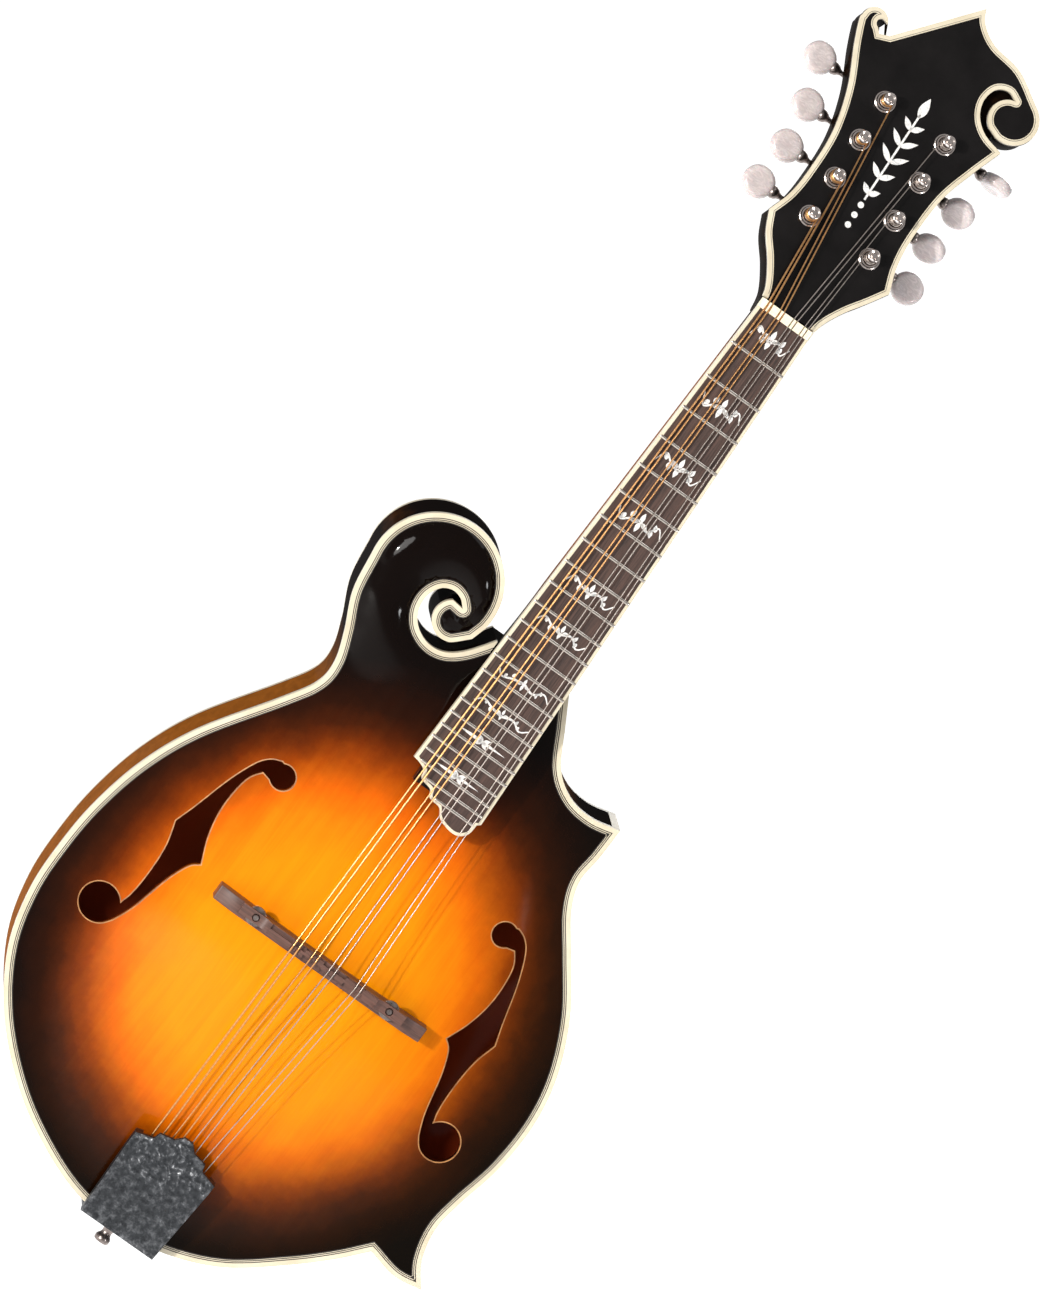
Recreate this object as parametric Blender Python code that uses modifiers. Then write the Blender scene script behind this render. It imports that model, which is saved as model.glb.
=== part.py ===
"""F-style mandolin as an assembly of separate wooden, metal and plastic pieces.

Metres, +Z up along the neck, the soundboard faces -Y and +X is the treble side.
The world origin is the middle of the end pin's flat end, the lowest point of the instrument.
Pieces are drawn in body coordinates, millimetres from the point where the strings' centreline
crosses the front edge plane of the rim, under the bridge saddle.
"""
import math

import bmesh
import bpy
import numpy as np
from mathutils import Matrix, Vector

MM = 0.001
GAP = 0.3                     # space left between pieces that touch
ARCH_GAP = 0.7                # the same against the faceted arching of a plate

# Body
SIDE_DEPTH = 43.2             # front edge of the top binding to back edge of the back binding
PLATE_EDGE = 4.0              # thickness of the top and back at their rim
RIM_THICKNESS = 2.4
BINDING_WIDTH = 4.2
LINING_WIDTH = 5.5
LINING_HEIGHT = 8.0
TOP_ARCH = 16.0
BACK_ARCH = 15.0
ARCH_CENTRE_Z = -12.0
ARCH_HALF_WIDTH = 112.0
ARCH_UP = 172.0
ARCH_DOWN = 140.0
ARCH_FULLNESS = 1.25
RECURVE_WIDTH = 14.0
NECK_JOINT_Z = 160.0
END_PIN_FACE_Z = -172.5
END_PIN_BORE = 4.3

# Scroll of the body
LOBE_CENTRE = (-58.0, 165.0)
LOBE_RADIUS = 31.2
BUTTON_CENTRE = (-41.0, 155.0)
BUTTON_RADIUS = 9.6

# Strings and neck
SCALE_LENGTH = 352.4          # 13 7/8 inch
STRING_HEIGHT = 33.2          # strings over the rim's front plane at the saddle
NECK_ANGLE = math.radians(5.44)
STRING_ANGLE = math.radians(5.94)
HEAD_ANGLE = math.radians(15.5)
NUT_LENGTH = 4.5
NUT_HALF_WIDTH = 13.8
BOARD_HALF_NUT = 12.3         # inside the binding, at the nut
BOARD_FLARE = 0.0292          # half width gained for each mm toward the body
BOARD_BINDING = 1.5
BOARD_FRONT = 1.0             # board surface behind the strings' line at the nut
BOARD_THICKNESS = 5.0
STRING_RADII = (0.47, 0.47, 0.36, 0.36, 0.26, 0.26, 0.24, 0.24)
NUT_COURSES = (-9.75, -3.25, 3.6, 9.6)
SADDLE_COURSES = (-15.0, -5.3, 4.7, 19.0)
NUT_PAIR = 1.9
SADDLE_PAIR = 2.8
TAIL_SPACING = 4.1

# Headstock
OVERLAY_THICKNESS = 2.0
HEAD_THICKNESS = 16.0
HEAD_BINDING = 2.6
HEAD_NOTCH_WEB = ((31.5, 147.5), (26.0, 149.0), (18.0, 144.0), (16.0, 135.0), (19.5, 125.0), (28.0, 119.5),
                  (33.0, 123.2), (33.0, 132.0), (36.0, 140.0))
POST_X = 16.7
FIRST_POST = 42.6
POST_SPACING = 21.46
POST_RADIUS = 3.0
POST_TOP = -9.0
WORM_DEPTH = 21.5             # worm shafts behind the head's front face
GEAR_TEETH = 14
GEAR_TIP_RADIUS = 4.2
GEAR_ROOT_RADIUS = 3.2
WORM_RADIUS = 2.0
WORM_THREAD = 0.8
WORM_PITCH = 1.66
WORM_OFFSET = 5.75            # worm axis to post axis
SHAFT_RADIUS = 1.25
BUTTON_DISC_RADIUS = 7.8
BUTTON_THICKNESS = 6.0
BUTTON_REACH = (41.7, 40.0, 42.4, 49.7)
BASS_BUTTON_TURN = (0, 0, 0, 0)
TREBLE_BUTTON_TURN = (0, 60, 50, 90)

# Bridge and tailpiece
BRIDGE_Z = -4.0
BRIDGE_HALF_LENGTH = 57.0
BRIDGE_DEPTH = 7.4
BRIDGE_TOP = -22.5
BRIDGE_END_DROP = 2.5         # the foot's two ends are this much lower
SADDLE_Z = -2.5
SADDLE_HALF_LENGTH = 45.0
BRIDGE_POST_X = 37.0
WHEEL_DROP = 1.2              # how far the thumbwheels can still be turned down
TAIL_TILT = math.radians(10)
TAIL_HALF_WIDTH = 20.0
COVER_LENGTH = 46.0

BLACK_VARNISH = ((0.02, 0.012, 0.01), 0.15, 0.0)
AMBER_VARNISH = ((0.75, 0.32, 0.04), 0.18, 0.0)
BROWN_VARNISH = ((0.3, 0.1, 0.03), 0.18, 0.0)
BARE_SPRUCE = ((0.75, 0.58, 0.36), 0.7, 0.0)
BARE_MAPLE = ((0.72, 0.55, 0.35), 0.65, 0.0)
CREAM = ((0.86, 0.78, 0.58), 0.3, 0.0)
ROSEWOOD = ((0.1, 0.055, 0.04), 0.5, 0.0)
NICKEL = ((0.72, 0.68, 0.62), 0.22, 1.0)
BRONZE = ((0.72, 0.42, 0.2), 0.35, 1.0)
STEEL = ((0.62, 0.62, 0.63), 0.25, 1.0)
PEWTER = ((0.07, 0.07, 0.08), 0.45, 0.8)
PEARL = ((0.86, 0.8, 0.78), 0.2, 0.0)
BONE = ((0.9, 0.84, 0.68), 0.35, 0.0)


# ---------------------------------------------------------------- scene helpers

def clear_scene():
    for obj in list(bpy.data.objects):
        bpy.data.objects.remove(obj, do_unlink=True)


def new_collection(name):
    collection = bpy.data.collections.new(name)
    bpy.context.scene.collection.children.link(collection)
    return collection


def new_empty(name, parent, location=(0, 0, 0), tilt=0.0):
    """A frame whose local axes are the body's, turned about X."""
    empty = bpy.data.objects.new(name, None)
    PARTS.objects.link(empty)
    empty.parent = parent
    empty.location = Vector(location) * MM
    empty.rotation_euler = (tilt, 0, 0)
    return empty


def finish(obj, name, look, parent, origin=(0, 0, 0)):
    """Name a piece, give it its material and hang it in its frame, its origin on its joint."""
    colour, roughness, metallic = look
    material = bpy.data.materials.new(name)
    material.use_nodes = True
    shader = material.node_tree.nodes["Principled BSDF"]
    shader.inputs["Base Color"].default_value = (*colour, 1)
    shader.inputs["Roughness"].default_value = roughness
    shader.inputs["Metallic"].default_value = metallic
    obj.data.materials.clear()
    obj.data.materials.append(material)
    obj.name = name
    obj.data.name = name
    obj.data.transform(Matrix.Translation(-Vector(origin)))
    obj.data.transform(Matrix.Scale(MM, 4))
    obj.location = Vector(origin) * MM
    obj.parent = parent
    return obj


def mesh_object(bm):
    """A closed piece from a bmesh, with its faces turned outward."""
    bmesh.ops.remove_doubles(bm, verts=bm.verts, dist=1e-4)
    bmesh.ops.recalc_face_normals(bm, faces=bm.faces)
    mesh = bpy.data.meshes.new("piece")
    bm.to_mesh(mesh)
    bm.free()
    obj = bpy.data.objects.new("piece", mesh)
    PARTS.objects.link(obj)
    return obj


def evaluated(obj):
    """The piece with its modifiers or its curve turned into plain mesh."""
    bpy.context.view_layer.update()
    depsgraph = bpy.context.evaluated_depsgraph_get()
    mesh = bpy.data.meshes.new_from_object(obj.evaluated_get(depsgraph))
    bm = bmesh.new()
    bm.from_mesh(mesh)
    bpy.data.meshes.remove(mesh)
    bpy.data.objects.remove(obj, do_unlink=True)
    return mesh_object(bm)


def prism(loops, front, back):
    """Flat outlines in X and Z, the later loops being holes, from Y=front to Y=back."""
    curve = bpy.data.curves.new("outline", "CURVE")
    curve.dimensions = "2D"
    curve.fill_mode = "BOTH"
    curve.extrude = (back - front) / 2
    for loop in loops:
        spline = curve.splines.new("POLY")
        spline.points.add(len(loop) - 1)
        for point, (x, z) in zip(spline.points, loop):
            point.co = (x, z, 0, 1)
        spline.use_cyclic_u = True
    obj = bpy.data.objects.new("outline", curve)
    PARTS.objects.link(obj)
    obj = evaluated(obj)
    stand_up = Matrix.Translation((0, (front + back) / 2, 0)) @ Matrix.Rotation(math.pi / 2, 4, "X")
    obj.data.transform(stand_up)
    return obj


def box(low, high):
    bm = bmesh.new()
    bmesh.ops.create_cube(bm, size=1)
    low = Vector(low)
    high = Vector(high)
    bmesh.ops.scale(bm, vec=high - low, verts=bm.verts)
    bmesh.ops.translate(bm, vec=(high + low) / 2, verts=bm.verts)
    return mesh_object(bm)


def rod(start, end, radius, sides=16, end_radius=None):
    """A round bar or a cone between two points."""
    start = Vector(start)
    end = Vector(end)
    bm = bmesh.new()
    bmesh.ops.create_cone(bm, cap_ends=True, segments=sides, radius1=radius,
                          radius2=radius if end_radius is None else end_radius,
                          depth=(end - start).length)
    turn = (end - start).to_track_quat("Z", "Y").to_matrix().to_4x4()
    bmesh.ops.transform(bm, matrix=Matrix.Translation((start + end) / 2) @ turn, verts=bm.verts)
    return mesh_object(bm)


def turned(profile, axis_point, direction, sides=16):
    """A turned shape: (radius, distance) pairs along an axis, both ends on the axis."""
    bm = bmesh.new()
    verts = [bm.verts.new((radius, 0, along)) for radius, along in profile]
    for first, second in zip(verts, verts[1:]):
        bm.edges.new((first, second))
    mesh = bpy.data.meshes.new("profile")
    bm.to_mesh(mesh)
    bm.free()
    obj = bpy.data.objects.new("profile", mesh)
    PARTS.objects.link(obj)
    screw = obj.modifiers.new("Screw", "SCREW")
    screw.steps = sides
    screw.render_steps = sides
    screw.use_merge_vertices = True
    screw.merge_threshold = 0.0001
    obj = evaluated(obj)
    turn = Vector(direction).to_track_quat("Z", "Y").to_matrix().to_4x4()
    obj.data.transform(Matrix.Translation(Vector(axis_point)) @ turn)
    return obj


def boolean(obj, cutters, operation="DIFFERENCE"):
    """Cut or join whole pieces, using the cutters up."""
    for cutter in cutters:
        CUTTERS.objects.link(cutter)
        PARTS.objects.unlink(cutter)
        cutter.hide_render = True
        cutter.display_type = "WIRE"
        modifier = obj.modifiers.new("Boolean", "BOOLEAN")
        modifier.solver = "EXACT"
        modifier.operation = operation
        modifier.object = cutter
    result = evaluated(obj)
    for cutter in cutters:
        bpy.data.objects.remove(cutter, do_unlink=True)
    return result


def sliced(obj, xs=(), zs=()):
    """Cut a piece's faces along planes, so that it can bend there."""
    bm = bmesh.new()
    bm.from_mesh(obj.data)
    bmesh.ops.dissolve_limit(bm, angle_limit=0.01, verts=bm.verts, edges=bm.edges)
    for axis, places in (((1, 0, 0), xs), ((0, 0, 1), zs)):
        for place in places:
            geometry = bm.verts[:] + bm.edges[:] + bm.faces[:]
            bmesh.ops.bisect_plane(bm, geom=geometry, dist=1e-4, plane_no=axis,
                                   plane_co=Vector(axis) * place)
    bmesh.ops.triangulate(bm, faces=bm.faces)
    bpy.data.objects.remove(obj, do_unlink=True)
    return mesh_object(bm)


def shaped(obj, move):
    """Move each corner of a piece in Y by a function of its place."""
    for vertex in obj.data.vertices:
        vertex.co.y = move(*vertex.co)
    obj.data.update()
    return obj


# ---------------------------------------------------------------- outlines

def smooth(points, steps=3):
    """A curve through points, without its last point."""
    points = [np.array(p, float) for p in points]
    padded = [2 * points[0] - points[1], *points, 2 * points[-1] - points[-2]]
    result = []
    for a, b, c, d in zip(padded, padded[1:], padded[2:], padded[3:]):
        for step in range(steps):
            t = step / steps
            result.append(0.5 * (2 * b + (c - a) * t + (2 * a - 5 * b + 4 * c - d) * t ** 2
                                 + (3 * b - a - 3 * c + d) * t ** 3))
    return [tuple(p) for p in result]


def arc(centre, radius, start, end, count):
    """Points on a circle from one angle to another, in degrees, with both ends."""
    angles = np.radians(np.linspace(start, end, count))
    return [(centre[0] + radius * math.cos(a), centre[1] + radius * math.sin(a)) for a in angles]


def body_outline():
    """The outer edge of the body, clockwise from the treble side of the neck."""
    upper_waist = [(21.0, 159.0), (29.0, 145.0), (38.5, 128.8), (50.0, 120.6), (63.0, 118.6)]
    upper_point = (77.0, 121.4)
    treble_side = [upper_point, (76.7, 106.0), (75.8, 92.0), (81.0, 78.5), (93.0, 62.0), (109.0, 39.5),
                   (120.5, 14.0), (125.2, -10.0), (124.4, -36.0), (119.4, -60.0), (117.5, -76.0),
                   (121.0, -91.0)]
    lower_point = (128.7, -102.3)
    lower_edge = [lower_point, (115.0, -104.2)]
    tail = [(99.8, -101.0), (88.5, -113.5), (73.1, -127.8), (50.0, -145.8), (25.0, -156.2),
            (0.0, -159.4), (-25.0, -156.8), (-50.0, -147.2), (-75.0, -132.0), (-99.0, -109.5),
            (-116.0, -83.0), (-123.6, -56.0), (-124.8, -30.0), (-122.8, -5.0), (-116.5, 22.0),
            (-104.8, 48.5), (-83.0, 81.5), (-74.0, 97.0), (-73.2, 109.0), (-78.0, 123.0), (-85.6, 140.0)]
    lobe = arc(LOBE_CENTRE, LOBE_RADIUS, 190, -8, 20)
    button = [(-29.2, 153.4)] + arc(BUTTON_CENTRE, BUTTON_RADIUS, -55, -240, 10)
    gap_end = (-40.6, 162.0)
    far_side = [(-44.4, 165.4), (-49.4, 166.4), (-54.3, 163.9), (-57.2, 158.0), (-56.8, 151.0), (-53.2, 144.9),
                (-47.5, 141.2), (-41.0, 140.1), (-34.5, 141.9), (-28.5, 146.8), (-23.5, 153.2)]
    neck_bass = (-19.6, 159.0)
    return (smooth([*upper_waist, upper_point]) + smooth([*treble_side, lower_point])
            + smooth([*lower_edge, tail[0]]) + smooth([*tail, lobe[0]]) + lobe + button
            + smooth([gap_end, *far_side, neck_bass], 2) + [neck_bass])


def crossing(p, p_normal, q, q_normal):
    """Where two lines meet, each given by a point and its normal."""
    matrix = np.array([p_normal, q_normal])
    return np.linalg.solve(matrix, np.array([p_normal @ p, q_normal @ q]))


def distance_to(points, loop):
    """Distance from each point to a closed outline."""
    starts = np.array(loop)
    edges = np.roll(starts, -1, axis=0) - starts
    rel = np.asarray(points)[:, None, :] - starts[None]
    along = np.clip((rel * edges).sum(-1) / np.maximum((edges ** 2).sum(-1), 1e-12), 0, 1)
    return np.linalg.norm(rel - along[..., None] * edges, axis=-1).min(axis=1)


def inset(loop, distance, square_edges=()):
    """A clockwise outline moved inward; square_edges maps edge numbers to their own distance."""
    points = [np.array(p) for p in loop]
    count = len(points)
    lines = []
    for i in range(count):
        edge = points[(i + 1) % count] - points[i]
        normal = np.array([edge[1], -edge[0]]) / np.linalg.norm(edge)
        lines.append((points[i] + normal * dict(square_edges).get(i, distance), normal))
    result = []
    for i in range(count):
        p, p_normal = lines[i - 1]
        q, q_normal = lines[i]
        turn = p_normal[0] * q_normal[1] - p_normal[1] * q_normal[0]
        facing = p_normal @ q_normal
        if abs(turn) < 0.02 and facing > 0:
            result.append(points[i] + (p_normal + q_normal) / 2 * distance)
        elif turn > 0 and facing < 0.3:
            start = math.atan2(p_normal[1], p_normal[0])
            sweep = math.atan2(turn, facing)
            for share in (0, 0.25, 0.5, 0.75, 1):
                angle = start + sweep * share
                result.append(points[i] + distance * np.array([math.cos(angle), math.sin(angle)]))
        else:
            result.append(crossing(p, p_normal, q, q_normal))
    if not square_edges:
        clear = distance_to(result, loop) > distance - 0.05
        result = [p for p, keep in zip(result, clear) if keep]
    return [tuple(p) for p in result]


def arch(x, z):
    """Height of the carved plates' arching, 0 at the edge and 1 at the middle."""
    reach = ARCH_UP if z > ARCH_CENTRE_Z else ARCH_DOWN
    radius = math.hypot(x / ARCH_HALF_WIDTH, (z - ARCH_CENTRE_Z) / reach)
    if radius >= 1:
        return 0.0
    edge = min(1.0, distance_to([(x, z)], OUTLINE)[0] / (RECURVE_WIDTH * 2))
    recurve = edge * edge * (3 - 2 * edge)
    return 0.5 * (1 + math.cos(math.pi * radius ** ARCH_FULLNESS)) * recurve


def top_height(x, z):
    """Y of the soundboard's outer face."""
    return -TOP_ARCH * arch(x, z)


# ---------------------------------------------------------------- body

def plate(name, front, back, height, look, cut=None):
    """A carved top or back: a flat slab of the body's shape, bent along a grid to its arching."""
    slab = prism([PLATE_OUTLINE], front, back)
    if cut:
        slab = boolean(slab, cut)
    slab = sliced(slab, range(-105, 106, 21), range(-145, 146, 20))
    shaped(slab, lambda x, y, z: y + height(x, z))
    return finish(slab, name, look, BODY)


def sound_hole(side):
    """The f-hole's outline on one side, two eyes joined by a swelling stem with a nick each side."""
    outer_nick = (88.9, 8.8)
    inner_nick = (68.7, -0.4)
    outer_edge = (smooth([(66.0, 58.7), (70.8, 56.3), (75.2, 50.7), (80.5, 37.4), (85.7, 18.8), outer_nick], 2)
                  + smooth([outer_nick, (85.8, -2.5), (84.8, -16.0), (85.4, -29.3), (87.2, -36.7)], 2))
    lower_eye = arc((95.0, -41.8), 9.4, 147, -146, 14)
    inner_edge = (smooth([(86.6, -47.0), (81.6, -34.6), (77.2, -16.1), (72.8, -4.5), inner_nick], 2)[1:]
                  + smooth([inner_nick, (73.5, 11.8), (76.0, 26.3), (74.6, 42.6), (69.1, 51.5)], 2))
    upper_eye = arc((61.9, 53.2), 5.9, -46, -300, 11)
    return [(side * x, z) for x, z in [*outer_edge, *lower_eye, *inner_edge, *upper_eye]]


def head_block_area(grow):
    """The corner of the body that the head block and scroll fill, as a box in X and Z."""
    return (-95.0, 118.0 - grow), (36.0 + grow, 200.0)


def ring_piece(name, outer, inner, front, back, look, cutters):
    ring = prism([inset(OUTLINE, outer) if outer else OUTLINE, inset(OUTLINE, inner)], front, back)
    return finish(boolean(ring, cutters), name, look, BODY)


def area_box(area):
    (x_low, z_low), (x_high, z_high) = area
    return box((x_low, -20, z_low), (x_high, 80, z_high))


def end_pin_hole(radius):
    """A cutter for the end pin's bore through the tail of the body."""
    middle = SIDE_DEPTH / 2
    return rod((0, middle, END_Z - 6), (0, middle, END_Z + 30), radius)


def build_body():
    side_front = PLATE_EDGE + GAP
    side_back = SIDE_DEPTH - PLATE_EDGE - GAP
    back_front = SIDE_DEPTH - PLATE_EDGE

    holes = [prism([sound_hole(side)], -5, 10) for side in (-1, 1)]
    plate("soundboard", 0, PLATE_EDGE, top_height, AMBER_VARNISH, holes)
    plate("back_plate", back_front, SIDE_DEPTH, lambda x, z: BACK_ARCH * arch(x, z), BROWN_VARNISH)

    neck_slot = ((-NECK_SLOT, NECK_JOINT_Z - 8), (NECK_SLOT + 1.5, NECK_JOINT_Z + 8))
    ring_piece("top_binding", 0, BINDING_WIDTH, 0, PLATE_EDGE, CREAM, [area_box(neck_slot)])
    ring_piece("back_binding", 0, BINDING_WIDTH, back_front, SIDE_DEPTH, CREAM, [area_box(neck_slot)])
    ring_piece("rim", 0, RIM_THICKNESS, side_front, side_back, BROWN_VARNISH,
               [area_box(head_block_area(GAP)), end_pin_hole(END_PIN_BORE)])

    blocks = {"tail_block": ((-26, -158), (26, -141)),
              "upper_point_block": ((58, 88), (76, 120)),
              "lower_point_block": ((100, -104), (128, -84))}
    lining_inner = RIM_THICKNESS + GAP + LINING_WIDTH
    for name, front, back in (("top_lining", side_front, side_front + LINING_HEIGHT),
                              ("back_lining", side_back - LINING_HEIGHT, side_back)):
        ring_piece(name, RIM_THICKNESS + GAP, lining_inner, front, back, BARE_SPRUCE,
                   [area_box(head_block_area(2 * GAP))])

    block = prism([OUTLINE], side_front, side_back)
    block = boolean(block, [area_box(head_block_area(0))], "INTERSECT")
    finish(block, "head_block", BARE_MAPLE, BODY)
    for name, area in blocks.items():
        block = prism([inset(OUTLINE, RIM_THICKNESS + GAP)], side_front + LINING_HEIGHT + GAP,
                      side_back - LINING_HEIGHT - GAP)
        block = boolean(block, [area_box(area)], "INTERSECT")
        if name == "tail_block":
            block = boolean(block, [end_pin_hole(END_PIN_BORE)])
        finish(block, name, BARE_SPRUCE, BODY)

    for name, side in (("bass_tone_bar", -1), ("treble_tone_bar", 1)):
        bar = sliced(box((-3.0, 0, -112), (3.0, 9, 100)), zs=range(-96, 97, 16))
        lean = 24.0 + 4.0 * side
        for vertex in bar.data.vertices:
            vertex.co.x += side * (lean - 0.03 * vertex.co.z)
        shaped(bar, lambda x, y, z: y + top_height(x, z) + PLATE_EDGE + ARCH_GAP)
        finish(bar, name, BARE_SPRUCE, BODY)


# ---------------------------------------------------------------- neck and headstock

def board_half(z):
    """Half width of the playing surface inside its binding, z up from the nut."""
    return BOARD_HALF_NUT - BOARD_FLARE * z


def board_end():
    """The scalloped end of the fingerboard's extension, bass to treble."""
    return [(-19.8, -254.4), (-14.5, -256.5), (-12.5, -260.5), (-6.5, -262.2), (-4.5, -265.5),
            (1.5, -266.5), (5.0, -270.5), (11.0, -272.4), (15.8, -272.0), (19.3, -268.5), (20.0, -262.0)]


def board_outline(margin):
    """The fingerboard's edge, clockwise from the nut's treble side, grown by a margin."""
    sides_top = board_half(0) + margin
    end = board_end()
    centre_z = -262.0
    grown = []
    for x, z in end:
        lean = Vector((x / 3, min(0.0, z - centre_z + 3) - 4)).normalized()
        grown.append((x + lean.x * (margin - BOARD_BINDING), z + lean.y * (margin - BOARD_BINDING)))
    grown[0] = (-board_half(end[0][1]) - margin, end[0][1] - margin + BOARD_BINDING)
    grown[-1] = (board_half(end[-1][1]) + margin, end[-1][1])
    return [(sides_top, -GAP), *reversed(grown), (-sides_top, -GAP)]


def neck_section(z, count):
    """One D-shaped section of the neck's shaft and heel, at a height up the body."""
    along = (z - NUT_Z) / math.cos(NECK_ANGLE)
    board_back = (BOARD_FRONT + BOARD_THICKNESS + GAP) / math.cos(NECK_ANGLE)
    top = NUT_Y - (NUT_Z - z) * math.tan(NECK_ANGLE) + board_back
    half = board_half(along) + BOARD_BINDING
    heel = max(0.0, 1 - (z - NECK_JOINT_Z) / 34.0)
    depth = 13.5 + 0.02 * (NUT_Z - z) + (SIDE_DEPTH - top - 17.5) * heel ** 2.4
    roundness = 0.55 + 0.25 * heel
    points = []
    for i in range(count):
        angle = math.pi * i / (count - 1)
        squeeze = 1 - 0.42 * heel * math.sin(angle) ** 1.5
        points.append((half * squeeze * math.copysign(abs(math.cos(angle)) ** 0.75, math.cos(angle)),
                       top + depth * math.sin(angle) ** roundness, z))
    return points


def neck_shaft():
    """The shaft and heel, lofted through D-shaped sections."""
    heights = [NECK_JOINT_Z + GAP, 164, 169, 176, 185, 196, 225, 265, 305, 335, NUT_Z + 2.0]
    count = 11
    bm = bmesh.new()
    rings = [[bm.verts.new(p) for p in neck_section(z, count)] for z in heights]
    for lower, upper in zip(rings, rings[1:]):
        for i in range(count):
            j = (i + 1) % count
            bm.faces.new((lower[i], lower[j], upper[j], upper[i]))
    bm.faces.new(rings[0])
    bm.faces.new(reversed(rings[-1]))
    return mesh_object(bm)


def head_outline():
    """The headstock's edge, clockwise from the nut's bass side, Z up the head from the nut."""
    bass = [(-13.8, -5.5), (-15.4, 4.0), (-21.5, 15.0), (-29.0, 25.0)]
    bass_ear = (-33.5, 34.8)
    bass_side = [bass_ear, (-29.6, 47.0), (-28.3, 62.0), (-29.0, 82.0), (-34.3, 102.6), (-42.9, 121.4),
                 (-47.2, 132.5)]
    curl = arc((-41.0, 135.6), 6.2, 185, 20, 9)
    curl_inside = arc((-37.6, 136.1), 2.4, 60, 255, 6)
    crest = [(-36.0, 131.6), (-31.4, 133.6)]
    peak = (-1.5, 171.0)
    treble_crest = [peak, (2.0, 164.8), (11.0, 159.2), (27.0, 156.3)]
    lobe = arc((36.6, 136.4), 12.2, 62, -100, 14)
    lobe_inside = arc((35.0, 134.2), 9.6, -125, -245, 8)
    notch_end = (33.2, 143.6)
    notch_outside = [(28.0, 145.6), (22.5, 142.5), (20.6, 135.0), (23.4, 127.5), (30.0, 122.2)]
    treble_shoulder = (40.3, 119.6)
    treble_side = [treble_shoulder, (34.6, 103.5), (29.4, 85.0), (28.0, 62.0), (29.4, 47.0)]
    treble_ear = (33.2, 34.8)
    treble = [treble_ear, (27.5, 25.5), (20.6, 15.0), (15.4, 4.0), (13.8, -5.5)]
    return (smooth([*bass, bass_ear]) + smooth([*bass_side, curl[0]]) + curl + curl_inside + crest
            + smooth([*treble_crest, lobe[0]]) + lobe + lobe_inside
            + smooth([notch_end, *notch_outside, treble_shoulder], 2)
            + smooth([*treble_side, treble_ear]) + smooth(treble) + [treble[-1]])


def post_place(side, number):
    return side * POST_X, FIRST_POST + POST_SPACING * number


def post_cutters(radius, front, back):
    cutters = []
    for side in (-1, 1):
        for number in range(4):
            x, z = post_place(side, number)
            cutters.append(rod((x, front, z), (x, back, z), radius, 12))
    return cutters


def build_neck():
    head = prism([inset(HEAD_OUTLINE, 0.6)], OVERLAY_THICKNESS + GAP, HEAD_THICKNESS)
    head.data.transform(HEAD_MATRIX)
    # wood left in the bottom of the head scroll's notch
    web = prism([HEAD_NOTCH_WEB], OVERLAY_THICKNESS + 2.5, HEAD_THICKNESS - 0.5)
    web.data.transform(HEAD_MATRIX)
    cutters = post_cutters(POST_RADIUS + 0.5, -5, HEAD_THICKNESS + 5)
    for cutter in cutters:
        cutter.data.transform(HEAD_MATRIX)
    nut_room = box((-20, -20, -25), (20, BOARD_FRONT + BOARD_THICKNESS + GAP, NUT_LENGTH + GAP))
    nut_room.data.transform(BOARD_MATRIX)
    neck = boolean(boolean(neck_shaft(), [head, web], "UNION"), [*cutters, nut_room])

    rod_front = BOARD_FRONT + BOARD_THICKNESS
    channel = box((-3.2, rod_front - 5, -190), (3.2, rod_front + 9.5, -4))
    channel.data.transform(BOARD_MATRIX)
    finish(boolean(neck, [channel]), "neck", BROWN_VARNISH, BODY)
    finish(rod((0, rod_front + 4.5, -189), (0, rod_front + 4.5, -5), 2.6, 12), "truss_rod", STEEL, BOARD)

    board = prism([board_outline(-GAP)], BOARD_FRONT, BOARD_FRONT + BOARD_THICKNESS)
    finish(board, "fingerboard", ROSEWOOD, BOARD)
    edge = prism([board_outline(BOARD_BINDING)], BOARD_FRONT, BOARD_FRONT + BOARD_THICKNESS)
    room = prism([[(x, z if z < -1 else 5) for x, z in board_outline(0)]], -5, 15)
    finish(boolean(edge, [room]), "fingerboard_binding", CREAM, BOARD)

    nut = box((-NUT_HALF_WIDTH, 1.0, 0), (NUT_HALF_WIDTH, BOARD_FRONT + BOARD_THICKNESS, NUT_LENGTH))
    finish(nut, "nut", BONE, BOARD)

    support = sliced(box((-15, 0, 88), (15, 1, NECK_JOINT_Z - GAP)), (-5, 5), range(98, 158, 10))
    for vertex in support.data.vertices:
        x, y, z = vertex.co
        under_board = NUT_Y - (NUT_Z - z) * math.tan(NECK_ANGLE) + 6.6 / math.cos(NECK_ANGLE)
        vertex.co.y = top_height(x, z) - ARCH_GAP if y > 0.5 else under_board
    finish(support, "extension_support", BLACK_VARNISH, BODY)

    overlay = prism([inset(HEAD_OUTLINE, HEAD_BINDING + GAP)], 0, OVERLAY_THICKNESS)
    room = box((-20, -5, -9), (20, 10, 0.5))
    overlay = boolean(overlay, post_cutters(POST_RADIUS + 0.5, -5, 8) + [room])
    finish(overlay, "headstock_overlay", BLACK_VARNISH, HEAD)
    ring = prism([HEAD_OUTLINE, inset(HEAD_OUTLINE, HEAD_BINDING)], 0, OVERLAY_THICKNESS)
    room = box((-20, -5, -9), (20, 10, 0.5))
    finish(boolean(ring, [room]), "headstock_binding", CREAM, HEAD)


# ---------------------------------------------------------------- tuners

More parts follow.
